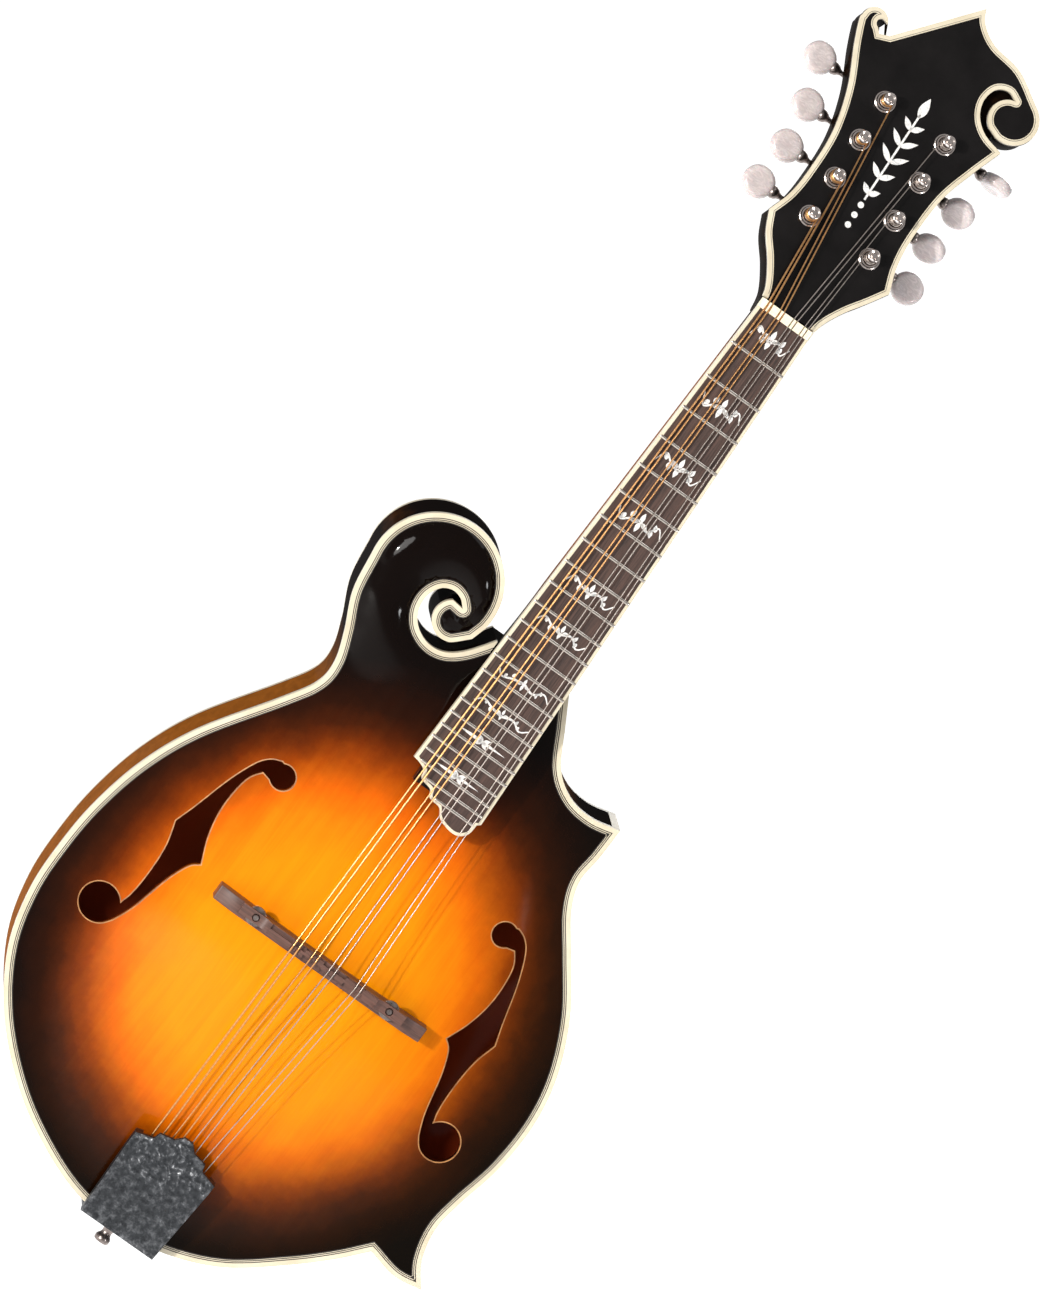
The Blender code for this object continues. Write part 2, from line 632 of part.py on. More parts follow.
def tuner_plate(name, side):
    """A strip across the back of the head with two bearing lugs for each worm shaft."""
    back = HEAD_THICKNESS + GAP
    low = FIRST_POST - 8
    high = FIRST_POST + 3 * POST_SPACING + 12
    inner, outer = sorted((side * (POST_X - 7), side * (POST_X + 7)))
    lugs = []
    holes = []
    for number in range(4):
        x, z = post_place(side, number)
        worm_z = z + WORM_OFFSET
        for shift in (-5.4, 5.4):
            lug_x = x + shift
            lugs.append(box((lug_x - 0.9, back + 0.5, worm_z - 2.2),
                            (lug_x + 0.9, WORM_DEPTH + 2.2, worm_z + 2.2)))
        holes.append(rod((x - 9, WORM_DEPTH, worm_z), (x + 9, WORM_DEPTH, worm_z), SHAFT_RADIUS + 0.3, 10))
        holes.append(rod((x, back - 3, z), (x, back + 3, z), POST_RADIUS + 0.4, 12))
    strip = box((inner, back, low), (outer, back + 1.0, high))
    finish(boolean(boolean(strip, lugs, "UNION"), holes), name, NICKEL, HEAD)


def tuner_post(name, side, number):
    """A string post with its worm gear behind the head."""
    x, z = post_place(side, number)
    gear = WORM_DEPTH
    profile = [(0, POST_TOP), (POST_RADIUS - 0.3, POST_TOP), (POST_RADIUS, POST_TOP + 0.4),
               (POST_RADIUS, -6.5), (POST_RADIUS - 0.7, -5.5), (POST_RADIUS - 0.7, -3.5), (POST_RADIUS, -2.5),
               (POST_RADIUS, gear - 1.4), (0, gear - 1.4)]
    post = turned(profile, (x, 0, z), (0, 1, 0), 12)
    bm = bmesh.new()
    bmesh.ops.create_cone(bm, cap_ends=True, segments=2 * GEAR_TEETH, radius1=GEAR_TIP_RADIUS,
                          radius2=GEAR_TIP_RADIUS, depth=2.6)
    for vertex in bm.verts:
        angle = math.atan2(vertex.co.y, vertex.co.x)
        tooth = round(angle / (math.pi / GEAR_TEETH)) % 2
        radius = GEAR_ROOT_RADIUS if tooth else GEAR_TIP_RADIUS
        vertex.co.x = radius * math.cos(angle)
        vertex.co.y = radius * math.sin(angle)
    wheel = mesh_object(bm)
    first_tooth = Matrix.Rotation(math.pi / 2, 4, "Z")
    wheel.data.transform(Matrix.Translation((x, gear - 0.2, z)) @ Matrix.Rotation(-math.pi / 2, 4, "X")
                         @ first_tooth)
    finish(boolean(post, [wheel], "UNION"), name, NICKEL, HEAD, (x, gear, z))


def worm(x, z):
    """The threaded length of a worm shaft, its ridge winding round as one wave."""
    rows = 4
    turns = 3
    sides = 8
    length = WORM_PITCH * turns
    bm = bmesh.new()
    bmesh.ops.create_cone(bm, cap_ends=True, segments=sides, radius1=1, radius2=1, depth=length)
    for cut in range(1, rows * turns):
        geometry = bm.verts[:] + bm.edges[:] + bm.faces[:]
        bmesh.ops.bisect_plane(bm, geom=geometry, dist=1e-4, plane_no=(0, 0, 1),
                               plane_co=(0, 0, length * (cut / (rows * turns) - 0.5)))
    for vertex in bm.verts:
        turn = math.atan2(vertex.co.y, vertex.co.x)
        wave = -math.cos(2 * math.pi * vertex.co.z / WORM_PITCH - turn)
        radius = WORM_RADIUS - WORM_THREAD / 2 + WORM_THREAD / 2 * wave
        vertex.co.x = radius * math.cos(turn)
        vertex.co.y = radius * math.sin(turn)
    obj = mesh_object(bm)
    # the valley on the shaft's local +X at its middle comes to face the gear, on the -Z side
    facing = Matrix.Rotation(math.pi / 2, 4, "Y")
    obj.data.transform(Matrix.Translation((x, WORM_DEPTH, z)) @ facing)
    return obj


def tuner_button(name, side, number):
    """A worm shaft and the flat round button on its outer end."""
    x, z = post_place(side, number)
    z += WORM_OFFSET
    reach = side * BUTTON_REACH[number]
    turn = math.radians((BASS_BUTTON_TURN if side < 0 else TREBLE_BUTTON_TURN)[number])
    disc = turned([(0, -BUTTON_THICKNESS / 2), (BUTTON_DISC_RADIUS - 1.6, -BUTTON_THICKNESS / 2),
                   (BUTTON_DISC_RADIUS, -BUTTON_THICKNESS / 4), (BUTTON_DISC_RADIUS, BUTTON_THICKNESS / 4),
                   (BUTTON_DISC_RADIUS - 1.6, BUTTON_THICKNESS / 2), (0, BUTTON_THICKNESS / 2)],
                  (0, 0, 0), (0, 1, 0), 16)
    disc.data.transform(Matrix.Translation((reach, WORM_DEPTH, z)) @ Matrix.Rotation(turn, 4, "X"))
    shaft = rod((x - 8.0 * side, WORM_DEPTH, z), (reach - 4.0 * side, WORM_DEPTH, z), SHAFT_RADIUS, 10)
    collar = rod((reach - 10.5 * side, WORM_DEPTH, z), (reach - 6.5 * side, WORM_DEPTH, z), 1.9, 10, 2.8)
    piece = boolean(shaft, [worm(x, z), collar, disc], "UNION")
    finish(piece, name, PEARL, HEAD, (x, WORM_DEPTH, z))


# ---------------------------------------------------------------- bridge, tailpiece and strings

def build_bridge():
    half = BRIDGE_HALF_LENGTH
    z_low = BRIDGE_Z - BRIDGE_DEPTH / 2
    z_high = BRIDGE_Z + BRIDGE_DEPTH / 2
    base = sliced(box((-half, 0, z_low), (half, 1, z_high)), range(-50, 51, 10))
    for vertex in base.data.vertices:
        x, y, z = vertex.co
        taper = min(1.0, (half - abs(x)) / 12.0)
        foot = top_height(x, z) - ARCH_GAP
        vertex.co.y = foot if y > 0.5 else BRIDGE_TOP + BRIDGE_END_DROP * (1 - taper)
    finish(base, "bridge_base", ROSEWOOD, BODY)

    wheel_thickness = 1.8
    wheel_back = BRIDGE_TOP - WHEEL_DROP - GAP
    wheel_front = wheel_back - wheel_thickness
    saddle_back = wheel_front - GAP
    crown = -STRING_HEIGHT + 1.0
    shoulder = crown + 3.2
    end = shoulder + 0.4
    profile = [(-SADDLE_HALF_LENGTH, saddle_back), (-SADDLE_HALF_LENGTH, end), (-32.5, shoulder),
               (-29.5, crown), (29.5, crown), (32.5, shoulder), (SADDLE_HALF_LENGTH, end),
               (SADDLE_HALF_LENGTH, saddle_back)]
    saddle = prism([profile], -SADDLE_Z - 2.6, -SADDLE_Z + 2.6)
    saddle.data.transform(Matrix.Rotation(-math.pi / 2, 4, "X"))
    holes = []
    for side, word in ((-1, "bass"), (1, "treble")):
        x = side * BRIDGE_POST_X
        post = rod((x, BRIDGE_TOP - GAP, SADDLE_Z), (x, shoulder - 0.6, SADDLE_Z), 1.6, 12)
        finish(post, f"bridge_post_{word}", NICKEL, BODY)
        wheel = rod((x, wheel_back, SADDLE_Z), (x, wheel_front, SADDLE_Z), 4.8, 24)
        wheel = boolean(wheel, [rod((x, wheel_back + 2, SADDLE_Z), (x, wheel_front - 2, SADDLE_Z), 1.9, 12)])
        finish(wheel, f"thumbwheel_{word}", NICKEL, BODY, (x, wheel_back, SADDLE_Z))
        holes.append(rod((x, saddle_back + 3, SADDLE_Z), (x, shoulder - 3, SADDLE_Z), 1.95, 12))
    finish(boolean(saddle, holes), "bridge_saddle", ROSEWOOD, BODY)


def cover_front():
    """The pointed front edge of the tailpiece cover, treble to bass."""
    half = TAIL_HALF_WIDTH
    treble = [(half + 2, COVER_LENGTH - 5), (half + 2, COVER_LENGTH), (13.5, COVER_LENGTH + 2.5),
              (12.5, COVER_LENGTH + 6), (5.5, COVER_LENGTH + 7.5), (2.2, COVER_LENGTH + 11.0)]
    return treble + [(-x, z) for x, z in reversed(treble)]


def build_tailpiece():
    half = TAIL_HALF_WIDTH
    wall = 1.4
    plate_half = half - wall - GAP
    flat = box((-plate_half, 0, -2.2), (plate_half, 1.5, 40))
    hooks = []
    for number in range(8):
        x = TAIL_SPACING * (number - 3.5)
        hooks.append(rod((x, 0.5, 34), (x, -1.6, 35.2), 0.8, 8))
    base = boolean(flat, hooks, "UNION")
    base.data.transform(TAIL_MATRIX)
    down = box((-plate_half, -2.0, END_Z - 2.2), (plate_half, 34.0, END_Z - 0.7))
    base = boolean(boolean(base, [down], "UNION"), [end_pin_hole(END_PIN_BORE)])
    finish(base, "tailpiece_base", PEWTER, BODY)

    outline = [(-half, 0.0), *reversed(cover_front()), (half, 0.0)]
    cover = prism([outline], -6.5, -1.0)
    slot = prism([[(-half + wall, wall), (-half + wall, COVER_LENGTH + 20), (half - wall, COVER_LENGTH + 20),
                   (half - wall, wall)]], -6.5 + wall, 5.0)
    finish(boolean(cover, [slot]), "tailpiece_cover", PEWTER, TAIL)

    pin = turned([(0, 0), (3.0, 0), (3.7, 0.7), (3.7, 2.8), (2.6, 4.4), (2.6, 5.6), (3.9, 6.6), (3.9, 8.0),
                  (3.3, 26.0), (0, 26.0)], (0, SIDE_DEPTH / 2, END_PIN_FACE_Z), (0, 0, 1), 16)
    finish(pin, "end_pin", PEWTER, BODY)


def string_places():
    """For each string, bass to treble: its X at tail, saddle and nut, and its post."""
    places = []
    for number in range(8):
        course = number // 2
        shift = number % 2 - 0.5
        side = -1 if number < 4 else 1
        post = number if number < 4 else 7 - number
        places.append((TAIL_SPACING * (number - 3.5), SADDLE_COURSES[course] + SADDLE_PAIR * shift,
                       NUT_COURSES[course] + NUT_PAIR * shift, side, post))
    return places


def build_strings():
    for number, (tail_x, saddle_x, nut_x, side, post) in enumerate(string_places()):
        x, z = post_place(side, post)
        radius = STRING_RADII[number]
        start = TAIL_MATRIX @ Vector((tail_x, -2.6, 36.5))
        saddle = Vector((saddle_x, -STRING_HEIGHT, SADDLE_Z))
        nut = BOARD_MATRIX @ Vector((nut_x, 0, NUT_LENGTH / 2))
        end = HEAD_MATRIX @ Vector((x - side * (POST_RADIUS + radius + 0.3), -4.5, z - 1.0))
        curve = bpy.data.curves.new("string", "CURVE")
        curve.dimensions = "3D"
        curve.bevel_depth = radius
        curve.bevel_resolution = 1
        curve.use_fill_caps = True
        spline = curve.splines.new("POLY")
        spline.points.add(3)
        for point, place in zip(spline.points, (start, saddle, nut, end)):
            point.co = (*place, 1)
        obj = bpy.data.objects.new("string", curve)
        PARTS.objects.link(obj)
        look = BRONZE if number < 4 else STEEL
        finish(evaluated(obj), f"string_{number + 1}", look, BODY)


# ---------------------------------------------------------------- assembly

clear_scene()
PARTS = new_collection("mandolin")
CUTTERS = new_collection("cutters")

OUTLINE = body_outline()
PLATE_OUTLINE = inset(OUTLINE, BINDING_WIDTH + GAP, {len(OUTLINE) - 1: GAP})
HEAD_OUTLINE = head_outline()
NECK_SLOT = 19.0
END_Z = min(z for x, z in OUTLINE)
NUT_Y = -STRING_HEIGHT + SCALE_LENGTH * math.sin(STRING_ANGLE)
NUT_Z = SCALE_LENGTH * math.cos(STRING_ANGLE)

BODY = new_empty("body_frame", None, (0, -SIDE_DEPTH / 2, -END_PIN_FACE_Z))
BOARD = new_empty("board_frame", BODY, (0, NUT_Y, NUT_Z), -NECK_ANGLE)
HEAD = new_empty("head_frame", BODY, (0, NUT_Y + 4.0, NUT_Z + 5.0), -NECK_ANGLE - HEAD_ANGLE)
TAIL = new_empty("tail_frame", BODY, (0, -3.0, END_Z), TAIL_TILT)


def frame_matrix(empty):
    return (Matrix.Translation(empty.location / MM) @ Matrix.Rotation(empty.rotation_euler.x, 4, "X"))


BOARD_MATRIX = frame_matrix(BOARD)
HEAD_MATRIX = frame_matrix(HEAD)
TAIL_MATRIX = frame_matrix(TAIL)

build_body()
build_neck()
for side_number, side_word in ((-1, "bass"), (1, "treble")):
    tuner_plate(f"tuner_plate_{side_word}", side_number)
    for post_number in range(4):
        string_number = post_number + 1 if side_number < 0 else 8 - post_number
        tuner_post(f"tuner_post_{string_number}", side_number, post_number)
        tuner_button(f"tuner_button_{string_number}", side_number, post_number)
build_bridge()
build_tailpiece()
build_strings()
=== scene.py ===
"""Looks of a scroll-bodied mandolin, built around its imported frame.

Pieces are drawn in body coordinates, millimetres from the point where the strings' centreline
crosses the front edge plane of the rim, under the bridge saddle: X to the treble side, Z up the
neck and -Y toward the front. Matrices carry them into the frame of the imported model, in metres.
"""
import math

import bmesh
import bpy
import numpy as np
from mathutils import Matrix, Vector, noise


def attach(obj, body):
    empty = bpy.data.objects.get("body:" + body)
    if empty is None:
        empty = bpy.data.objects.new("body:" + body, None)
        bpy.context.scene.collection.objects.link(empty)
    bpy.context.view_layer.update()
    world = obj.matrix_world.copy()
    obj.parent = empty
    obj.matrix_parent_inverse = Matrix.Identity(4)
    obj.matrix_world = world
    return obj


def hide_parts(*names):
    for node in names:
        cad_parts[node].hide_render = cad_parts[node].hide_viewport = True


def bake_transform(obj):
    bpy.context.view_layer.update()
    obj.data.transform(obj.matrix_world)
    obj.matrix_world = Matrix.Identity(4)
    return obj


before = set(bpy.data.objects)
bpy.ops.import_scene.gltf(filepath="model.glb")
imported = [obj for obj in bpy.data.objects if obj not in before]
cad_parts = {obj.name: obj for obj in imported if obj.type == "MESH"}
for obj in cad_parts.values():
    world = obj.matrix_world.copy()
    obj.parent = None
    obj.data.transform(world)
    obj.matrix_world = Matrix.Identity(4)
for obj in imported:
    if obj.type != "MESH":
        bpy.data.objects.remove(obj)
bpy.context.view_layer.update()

MM = 0.001
ROOT = "mandolin_body"

# Body
SIDE_DEPTH = 43.2
PLATE_EDGE = 4.0
RIM_THICKNESS = 2.4
BINDING_WIDTH = 4.2
TOP_ARCH = 16.0
BACK_ARCH = 15.0
ARCH_CENTRE_Z = -12.0
ARCH_HALF_WIDTH = 112.0
ARCH_UP = 172.0
ARCH_DOWN = 140.0
ARCH_FULLNESS = 1.25
RECURVE_WIDTH = 14.0
NECK_JOINT_Z = 160.0
NECK_SLOT = 19.0
END_PIN_FACE_Z = -172.5
LOBE_CENTRE = (-58.0, 165.0)
LOBE_RADIUS = 31.2
BUTTON_CENTRE = (-41.0, 155.0)
BUTTON_RADIUS = 9.6
UPPER_POINT = (77.0, 121.4)
LOWER_POINT = (128.7, -102.3)
BAND_STEPS = (0, 2.15, 2.6, 2.95, 3.4, 3.65, BINDING_WIDTH)

# Strings and neck
SCALE_LENGTH = 352.4
STRING_HEIGHT = 33.2
NECK_ANGLE = math.radians(5.44)
STRING_ANGLE = math.radians(5.94)
HEAD_ANGLE = math.radians(15.5)
NUT_LENGTH = 4.5
NUT_HALF_WIDTH = 13.8
BOARD_HALF_NUT = 12.3
BOARD_FLARE = 0.0292
BOARD_BINDING = 1.5
BOARD_FRONT = 1.0
BOARD_THICKNESS = 5.0
STRING_RADII = (0.47, 0.47, 0.36, 0.36, 0.26, 0.26, 0.24, 0.24)
NUT_COURSES = (-9.75, -3.25, 3.6, 9.6)
SADDLE_COURSES = (-15.0, -5.3, 4.7, 19.0)
NUT_PAIR = 1.9
SADDLE_PAIR = 2.8
TAIL_SPACING = 4.1
FRET_COUNT = 24
FRET_WIDTH = 1.7
FRET_HEIGHT = 0.7

# Headstock
OVERLAY_THICKNESS = 2.0
HEAD_THICKNESS = 16.0
HEAD_BINDING = 2.6
HEAD_NOTCH_WEB = ((31.5, 147.5), (26.0, 149.0), (18.0, 144.0), (16.0, 135.0), (19.5, 125.0),
                  (28.0, 119.5), (33.0, 123.2), (33.0, 132.0), (36.0, 140.0))
POST_X = 16.7
FIRST_POST = 42.6
POST_SPACING = 21.46
POST_RADIUS = 3.0
POST_TOP = -9.0
WORM_DEPTH = 21.5
GEAR_TEETH = 14
WORM_RADIUS = 2.0
WORM_THREAD = 0.8
WORM_PITCH = 1.66
WORM_OFFSET = 5.75
SHAFT_RADIUS = 1.25
BUTTON_DISC_RADIUS = 7.8
BUTTON_THICKNESS = 6.0
BUTTON_REACH = (41.7, 40.0, 42.4, 49.7)
BASS_BUTTON_TURN = (0, 0, 0, 0)
TREBLE_BUTTON_TURN = (0, 60, 50, 90)

# Bridge and tailpiece
BRIDGE_Z = -4.0
BRIDGE_HALF_LENGTH = 57.0
BRIDGE_DEPTH = 7.4
BRIDGE_TOP = -22.5
BRIDGE_END_DROP = 2.5
SADDLE_Z = -2.5
SADDLE_HALF_LENGTH = 45.0
BRIDGE_POST_X = 37.0
THREAD_PITCH = 0.7
KNURL_COUNT = 40
WHEEL_BACK = -24.0
WHEEL_FRONT = -25.8
SADDLE_BACK = -26.1
SADDLE_CROWN = -32.2
SADDLE_SHOULDER = -29.0
TAIL_TILT = math.radians(10)
TAIL_HALF_WIDTH = 20.0
COVER_LENGTH = 46.0


# ---------------------------------------------------------------- mesh helpers

def put(obj, name, matrix, material, body=ROOT, replaces=(), sharp=35.0):
    """Name a mesh object, carry it into the frame, shade it and hang it on its body."""
    mesh = obj.data
    mesh.transform(matrix)
    if matrix.determinant() < 0:
        mesh.flip_normals()
    for each in material if isinstance(material, (list, tuple)) else [material]:
        mesh.materials.append(each)
    mesh.shade_smooth()
    mesh.set_sharp_from_angle(angle=math.radians(sharp))
    obj.name = name
    mesh.name = name
    if body:
        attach(obj, body)
    if replaces:
        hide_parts(*replaces)
    return obj


def linked(name, data):
    """A new object in the scene."""
    obj = bpy.data.objects.new(name, data)
    bpy.context.scene.collection.objects.link(obj)
    return obj


def mesh_object(bm):
    bmesh.ops.remove_doubles(bm, verts=bm.verts, dist=1e-4)
    bmesh.ops.recalc_face_normals(bm, faces=bm.faces)
    mesh = bpy.data.meshes.new("piece")
    bm.to_mesh(mesh)
    bm.free()
    return linked("piece", mesh)


def evaluated(obj):
    bpy.context.view_layer.update()
    depsgraph = bpy.context.evaluated_depsgraph_get()
    mesh = bpy.data.meshes.new_from_object(obj.evaluated_get(depsgraph))
    bm = bmesh.new()
    bm.from_mesh(mesh)
    bpy.data.meshes.remove(mesh)
    bpy.data.objects.remove(obj, do_unlink=True)
    return mesh_object(bm)


def prism(loops, front, back, bevel=0.0):
    """Flat outlines in X and Z, later loops being holes, from Y=front to Y=back, with rounded edges."""
    curve = bpy.data.curves.new("outline", "CURVE")
    curve.dimensions = "2D"
    curve.fill_mode = "BOTH"
    curve.extrude = (back - front) / 2 - bevel
    curve.bevel_depth = bevel
    curve.bevel_resolution = 2
    curve.offset = -bevel
    for loop in loops:
        spline = curve.splines.new("POLY")
        spline.points.add(len(loop) - 1)
        for point, (x, z) in zip(spline.points, loop):
            point.co = (x, z, 0, 1)
        spline.use_cyclic_u = True
    obj = evaluated(linked("outline", curve))
    middle = Matrix.Translation((0, (front + back) / 2, 0))
    obj.data.transform(middle @ Matrix.Rotation(math.pi / 2, 4, "X"))
    return obj


def box(low, high, bevel=0.0):
    bm = bmesh.new()
    bmesh.ops.create_cube(bm, size=1)
    low = Vector(low)
    high = Vector(high)
    bmesh.ops.scale(bm, vec=high - low, verts=bm.verts)
    bmesh.ops.translate(bm, vec=(high + low) / 2, verts=bm.verts)
    if bevel:
        bmesh.ops.bevel(bm, geom=bm.edges[:], offset=bevel, segments=3, affect="EDGES", profile=0.5)
    return mesh_object(bm)


def turned(profile, axis_point, direction, sides=40):
    """A turned shape from (radius, distance) pairs along an axis, both ends on the axis."""
    bm = bmesh.new()
    rings = []
    for radius, along in profile:
        if radius < 1e-6:
            rings.append([bm.verts.new((0, 0, along))])
        else:
            rings.append([bm.verts.new((radius * math.cos(2 * math.pi * i / sides),
                                        radius * math.sin(2 * math.pi * i / sides), along))
                          for i in range(sides)])
    for lower, upper in zip(rings, rings[1:]):
        for i in range(sides):
            j = (i + 1) % sides
            corners = []
            for vertex in (lower[i % len(lower)], lower[j % len(lower)],
                           upper[j % len(upper)], upper[i % len(upper)]):
                if vertex not in corners:
                    corners.append(vertex)
            if len(corners) > 2:
                bm.faces.new(corners)
    obj = mesh_object(bm)
    turn = Vector(direction).to_track_quat("Z", "Y").to_matrix().to_4x4()
    obj.data.transform(Matrix.Translation(Vector(axis_point)) @ turn)
    return obj


def rod(start, end, radius, sides=24):
    start = Vector(start)
    end = Vector(end)
    length = (end - start).length
    return turned([(0, 0), (radius, 0), (radius, length), (0, length)], start, end - start, sides)


def tube(points, radius, sides):
    """A round bar along a line of points, with closed ends."""
    curve = bpy.data.curves.new("tube", "CURVE")
    curve.dimensions = "3D"
    curve.bevel_depth = radius
    curve.bevel_resolution = max(1, sides // 4 - 1)
    curve.use_fill_caps = True
    spline = curve.splines.new("POLY")
    spline.points.add(len(points) - 1)
    for point, place in zip(spline.points, points):
        point.co = (*place, 1)
    return evaluated(linked("tube", curve))


def boolean(obj, cutters, operation="DIFFERENCE"):
    for cutter in cutters:
        modifier = obj.modifiers.new("Boolean", "BOOLEAN")
        modifier.solver = "EXACT"
        modifier.operation = operation
        modifier.object = cutter
    result = evaluated(obj)
    for cutter in cutters:
        bpy.data.objects.remove(cutter, do_unlink=True)
    return result


def joined(objects):
    """Several shapes as the loose shells of one mesh."""
    bm = bmesh.new()
    for obj in objects:
        bm.from_mesh(obj.data)
        bpy.data.objects.remove(obj, do_unlink=True)
    mesh = bpy.data.meshes.new("piece")
    bm.to_mesh(mesh)
    bm.free()
    return linked("piece", mesh)


def sliced(obj, xs=(), zs=()):
    """Cut a piece's faces along planes, so that it can bend there."""
    bm = bmesh.new()
    bm.from_mesh(obj.data)
    bmesh.ops.dissolve_limit(bm, angle_limit=0.01, verts=bm.verts, edges=bm.edges)
    for axis, places in (((1, 0, 0), xs), ((0, 0, 1), zs)):
        for place in places:
            geometry = bm.verts[:] + bm.edges[:] + bm.faces[:]
            bmesh.ops.bisect_plane(bm, geom=geometry, dist=1e-4, plane_no=axis,
                                   plane_co=Vector(axis) * place)
    bmesh.ops.triangulate(bm, faces=[f for f in bm.faces if len(f.verts) > 4])
    bpy.data.objects.remove(obj, do_unlink=True)
    return mesh_object(bm)


def banded_ring(outline, steps, front, back, cutters):
    """A ring of bands laid side by side, cream and dark by turns, between insets of one outline."""
    bands = []
    for number, (outer, inner) in enumerate(zip(steps, steps[1:])):
        loops = [inset(outline, outer) if outer else outline, inset(outline, inner)]
        band = boolean(prism(loops, front, back), [box(*cutter) for cutter in cutters])
        for face in band.data.polygons:
            face.material_index = number % 2
        bands.append(band)
    return joined(bands)


def write_attribute(obj, name, values):
    attribute = obj.data.attributes.new(name, "FLOAT", "POINT")
    attribute.data.foreach_set("value", np.asarray(values, np.float32))


# ---------------------------------------------------------------- outlines

def smooth(points, steps=8):
    """A curve through points, without its last point."""
    points = [np.array(p, float) for p in points]
    padded = [2 * points[0] - points[1], *points, 2 * points[-1] - points[-2]]
    result = []
    for a, b, c, d in zip(padded, padded[1:], padded[2:], padded[3:]):
        for step in range(steps):
            t = step / steps
            result.append(0.5 * (2 * b + (c - a) * t + (2 * a - 5 * b + 4 * c - d) * t ** 2
                                 + (3 * b - a - 3 * c + d) * t ** 3))
    return [tuple(p) for p in result]


def arc(centre, radius, start, end, count):
    angles = np.radians(np.linspace(start, end, count))
    return [(centre[0] + radius * math.cos(a), centre[1] + radius * math.sin(a)) for a in angles]


def body_outline():
    """The outer edge of the body, clockwise from the treble side of the neck."""
    upper_waist = [(21.0, 159.0), (29.0, 145.0), (38.5, 128.8), (50.0, 120.6), (63.0, 118.6)]
    treble_side = [UPPER_POINT, (76.7, 106.0), (75.8, 92.0), (81.0, 78.5), (93.0, 62.0), (109.0, 39.5),
                   (120.5, 14.0), (125.2, -10.0), (124.4, -36.0), (119.4, -60.0), (117.5, -76.0),
                   (121.0, -91.0)]
    lower_edge = [LOWER_POINT, (115.0, -104.2)]
    tail = [(99.8, -101.0), (88.5, -113.5), (73.1, -127.8), (50.0, -145.8), (25.0, -156.2),
            (0.0, -159.4), (-25.0, -156.8), (-50.0, -147.2), (-75.0, -132.0), (-99.0, -109.5),
            (-116.0, -83.0), (-123.6, -56.0), (-124.8, -30.0), (-122.8, -5.0), (-116.5, 22.0),
            (-104.8, 48.5), (-83.0, 81.5), (-74.0, 97.0), (-73.2, 109.0), (-78.0, 123.0), (-85.6, 140.0)]
    lobe = arc(LOBE_CENTRE, LOBE_RADIUS, 190, -8, 60)
    button = smooth([(-29.2, 153.4)] + arc(BUTTON_CENTRE, BUTTON_RADIUS, -55, -240, 10), 4)
    gap_end = (-40.6, 162.0)
    far_side = [(-44.4, 165.4), (-49.4, 166.4), (-54.3, 163.9), (-57.2, 158.0), (-56.8, 151.0),
                (-53.2, 144.9), (-47.5, 141.2), (-41.0, 140.1), (-34.5, 141.9), (-28.5, 146.8),
                (-23.5, 153.2)]
    neck_bass = (-19.6, 159.0)
    return (smooth([*upper_waist, UPPER_POINT]) + smooth([*treble_side, LOWER_POINT])
            + smooth([*lower_edge, tail[0]]) + smooth([*tail, lobe[0]], 7) + lobe + button
            + smooth([gap_end, *far_side, neck_bass], 5) + [neck_bass])


def crossing(p, p_normal, q, q_normal):
    matrix = np.array([p_normal, q_normal])
    return np.linalg.solve(matrix, np.array([p_normal @ p, q_normal @ q]))


def distance_to(points, loop):
    """Distance from each point to a closed outline."""
    starts = np.array(loop)
    edges = np.roll(starts, -1, axis=0) - starts
    points = np.asarray(points, float)
    nearest = np.full(len(points), 1e9)
    for start, edge in zip(starts, edges):
        rel = points - start
        along = np.clip(rel @ edge / max(edge @ edge, 1e-12), 0, 1)
        nearest = np.minimum(nearest, np.hypot(*(rel - along[:, None] * edge).T))
    return nearest


def inset(loop, distance):
    """A clockwise outline moved inward, with round outer corners."""
    points = [np.array(p) for p in loop]
    count = len(points)
    lines = []
    for i in range(count):
        edge = points[(i + 1) % count] - points[i]
        normal = np.array([edge[1], -edge[0]]) / np.linalg.norm(edge)
        lines.append((points[i] + normal * distance, normal))
    result = []
    for i in range(count):
        p, p_normal = lines[i - 1]
        q, q_normal = lines[i]
        turn = p_normal[0] * q_normal[1] - p_normal[1] * q_normal[0]
        facing = p_normal @ q_normal
        if abs(turn) < 0.02 and facing > 0:
            result.append(points[i] + (p_normal + q_normal) / 2 * distance)
        elif turn > 0 and facing < 0.3:
            start = math.atan2(p_normal[1], p_normal[0])
            sweep = math.atan2(turn, facing)
            for share in np.linspace(0, 1, 7):
                angle = start + sweep * share
                result.append(points[i] + distance * np.array([math.cos(angle), math.sin(angle)]))
        else:
            result.append(crossing(p, p_normal, q, q_normal))
    clear = distance_to(result, loop) > distance - 0.05
    return [tuple(p) for p, keep in zip(result, clear) if keep]


OUTLINE = body_outline()
END_Z = min(z for x, z in OUTLINE)
NUT_Y = -STRING_HEIGHT + SCALE_LENGTH * math.sin(STRING_ANGLE)
NUT_Z = SCALE_LENGTH * math.cos(STRING_ANGLE)
BODY = Matrix.Scale(MM, 4) @ Matrix.Translation((0, -SIDE_DEPTH / 2, -END_PIN_FACE_Z))
BOARD_PLACE = Matrix.Translation((0, NUT_Y, NUT_Z)) @ Matrix.Rotation(-NECK_ANGLE, 4, "X")
HEAD_PLACE = (Matrix.Translation((0, NUT_Y + 4.0, NUT_Z + 5.0))
              @ Matrix.Rotation(-NECK_ANGLE - HEAD_ANGLE, 4, "X"))
TAIL_PLACE = Matrix.Translation((0, -3.0, END_Z)) @ Matrix.Rotation(TAIL_TILT, 4, "X")
BOARD = BODY @ BOARD_PLACE
HEAD = BODY @ HEAD_PLACE
TAIL = BODY @ TAIL_PLACE


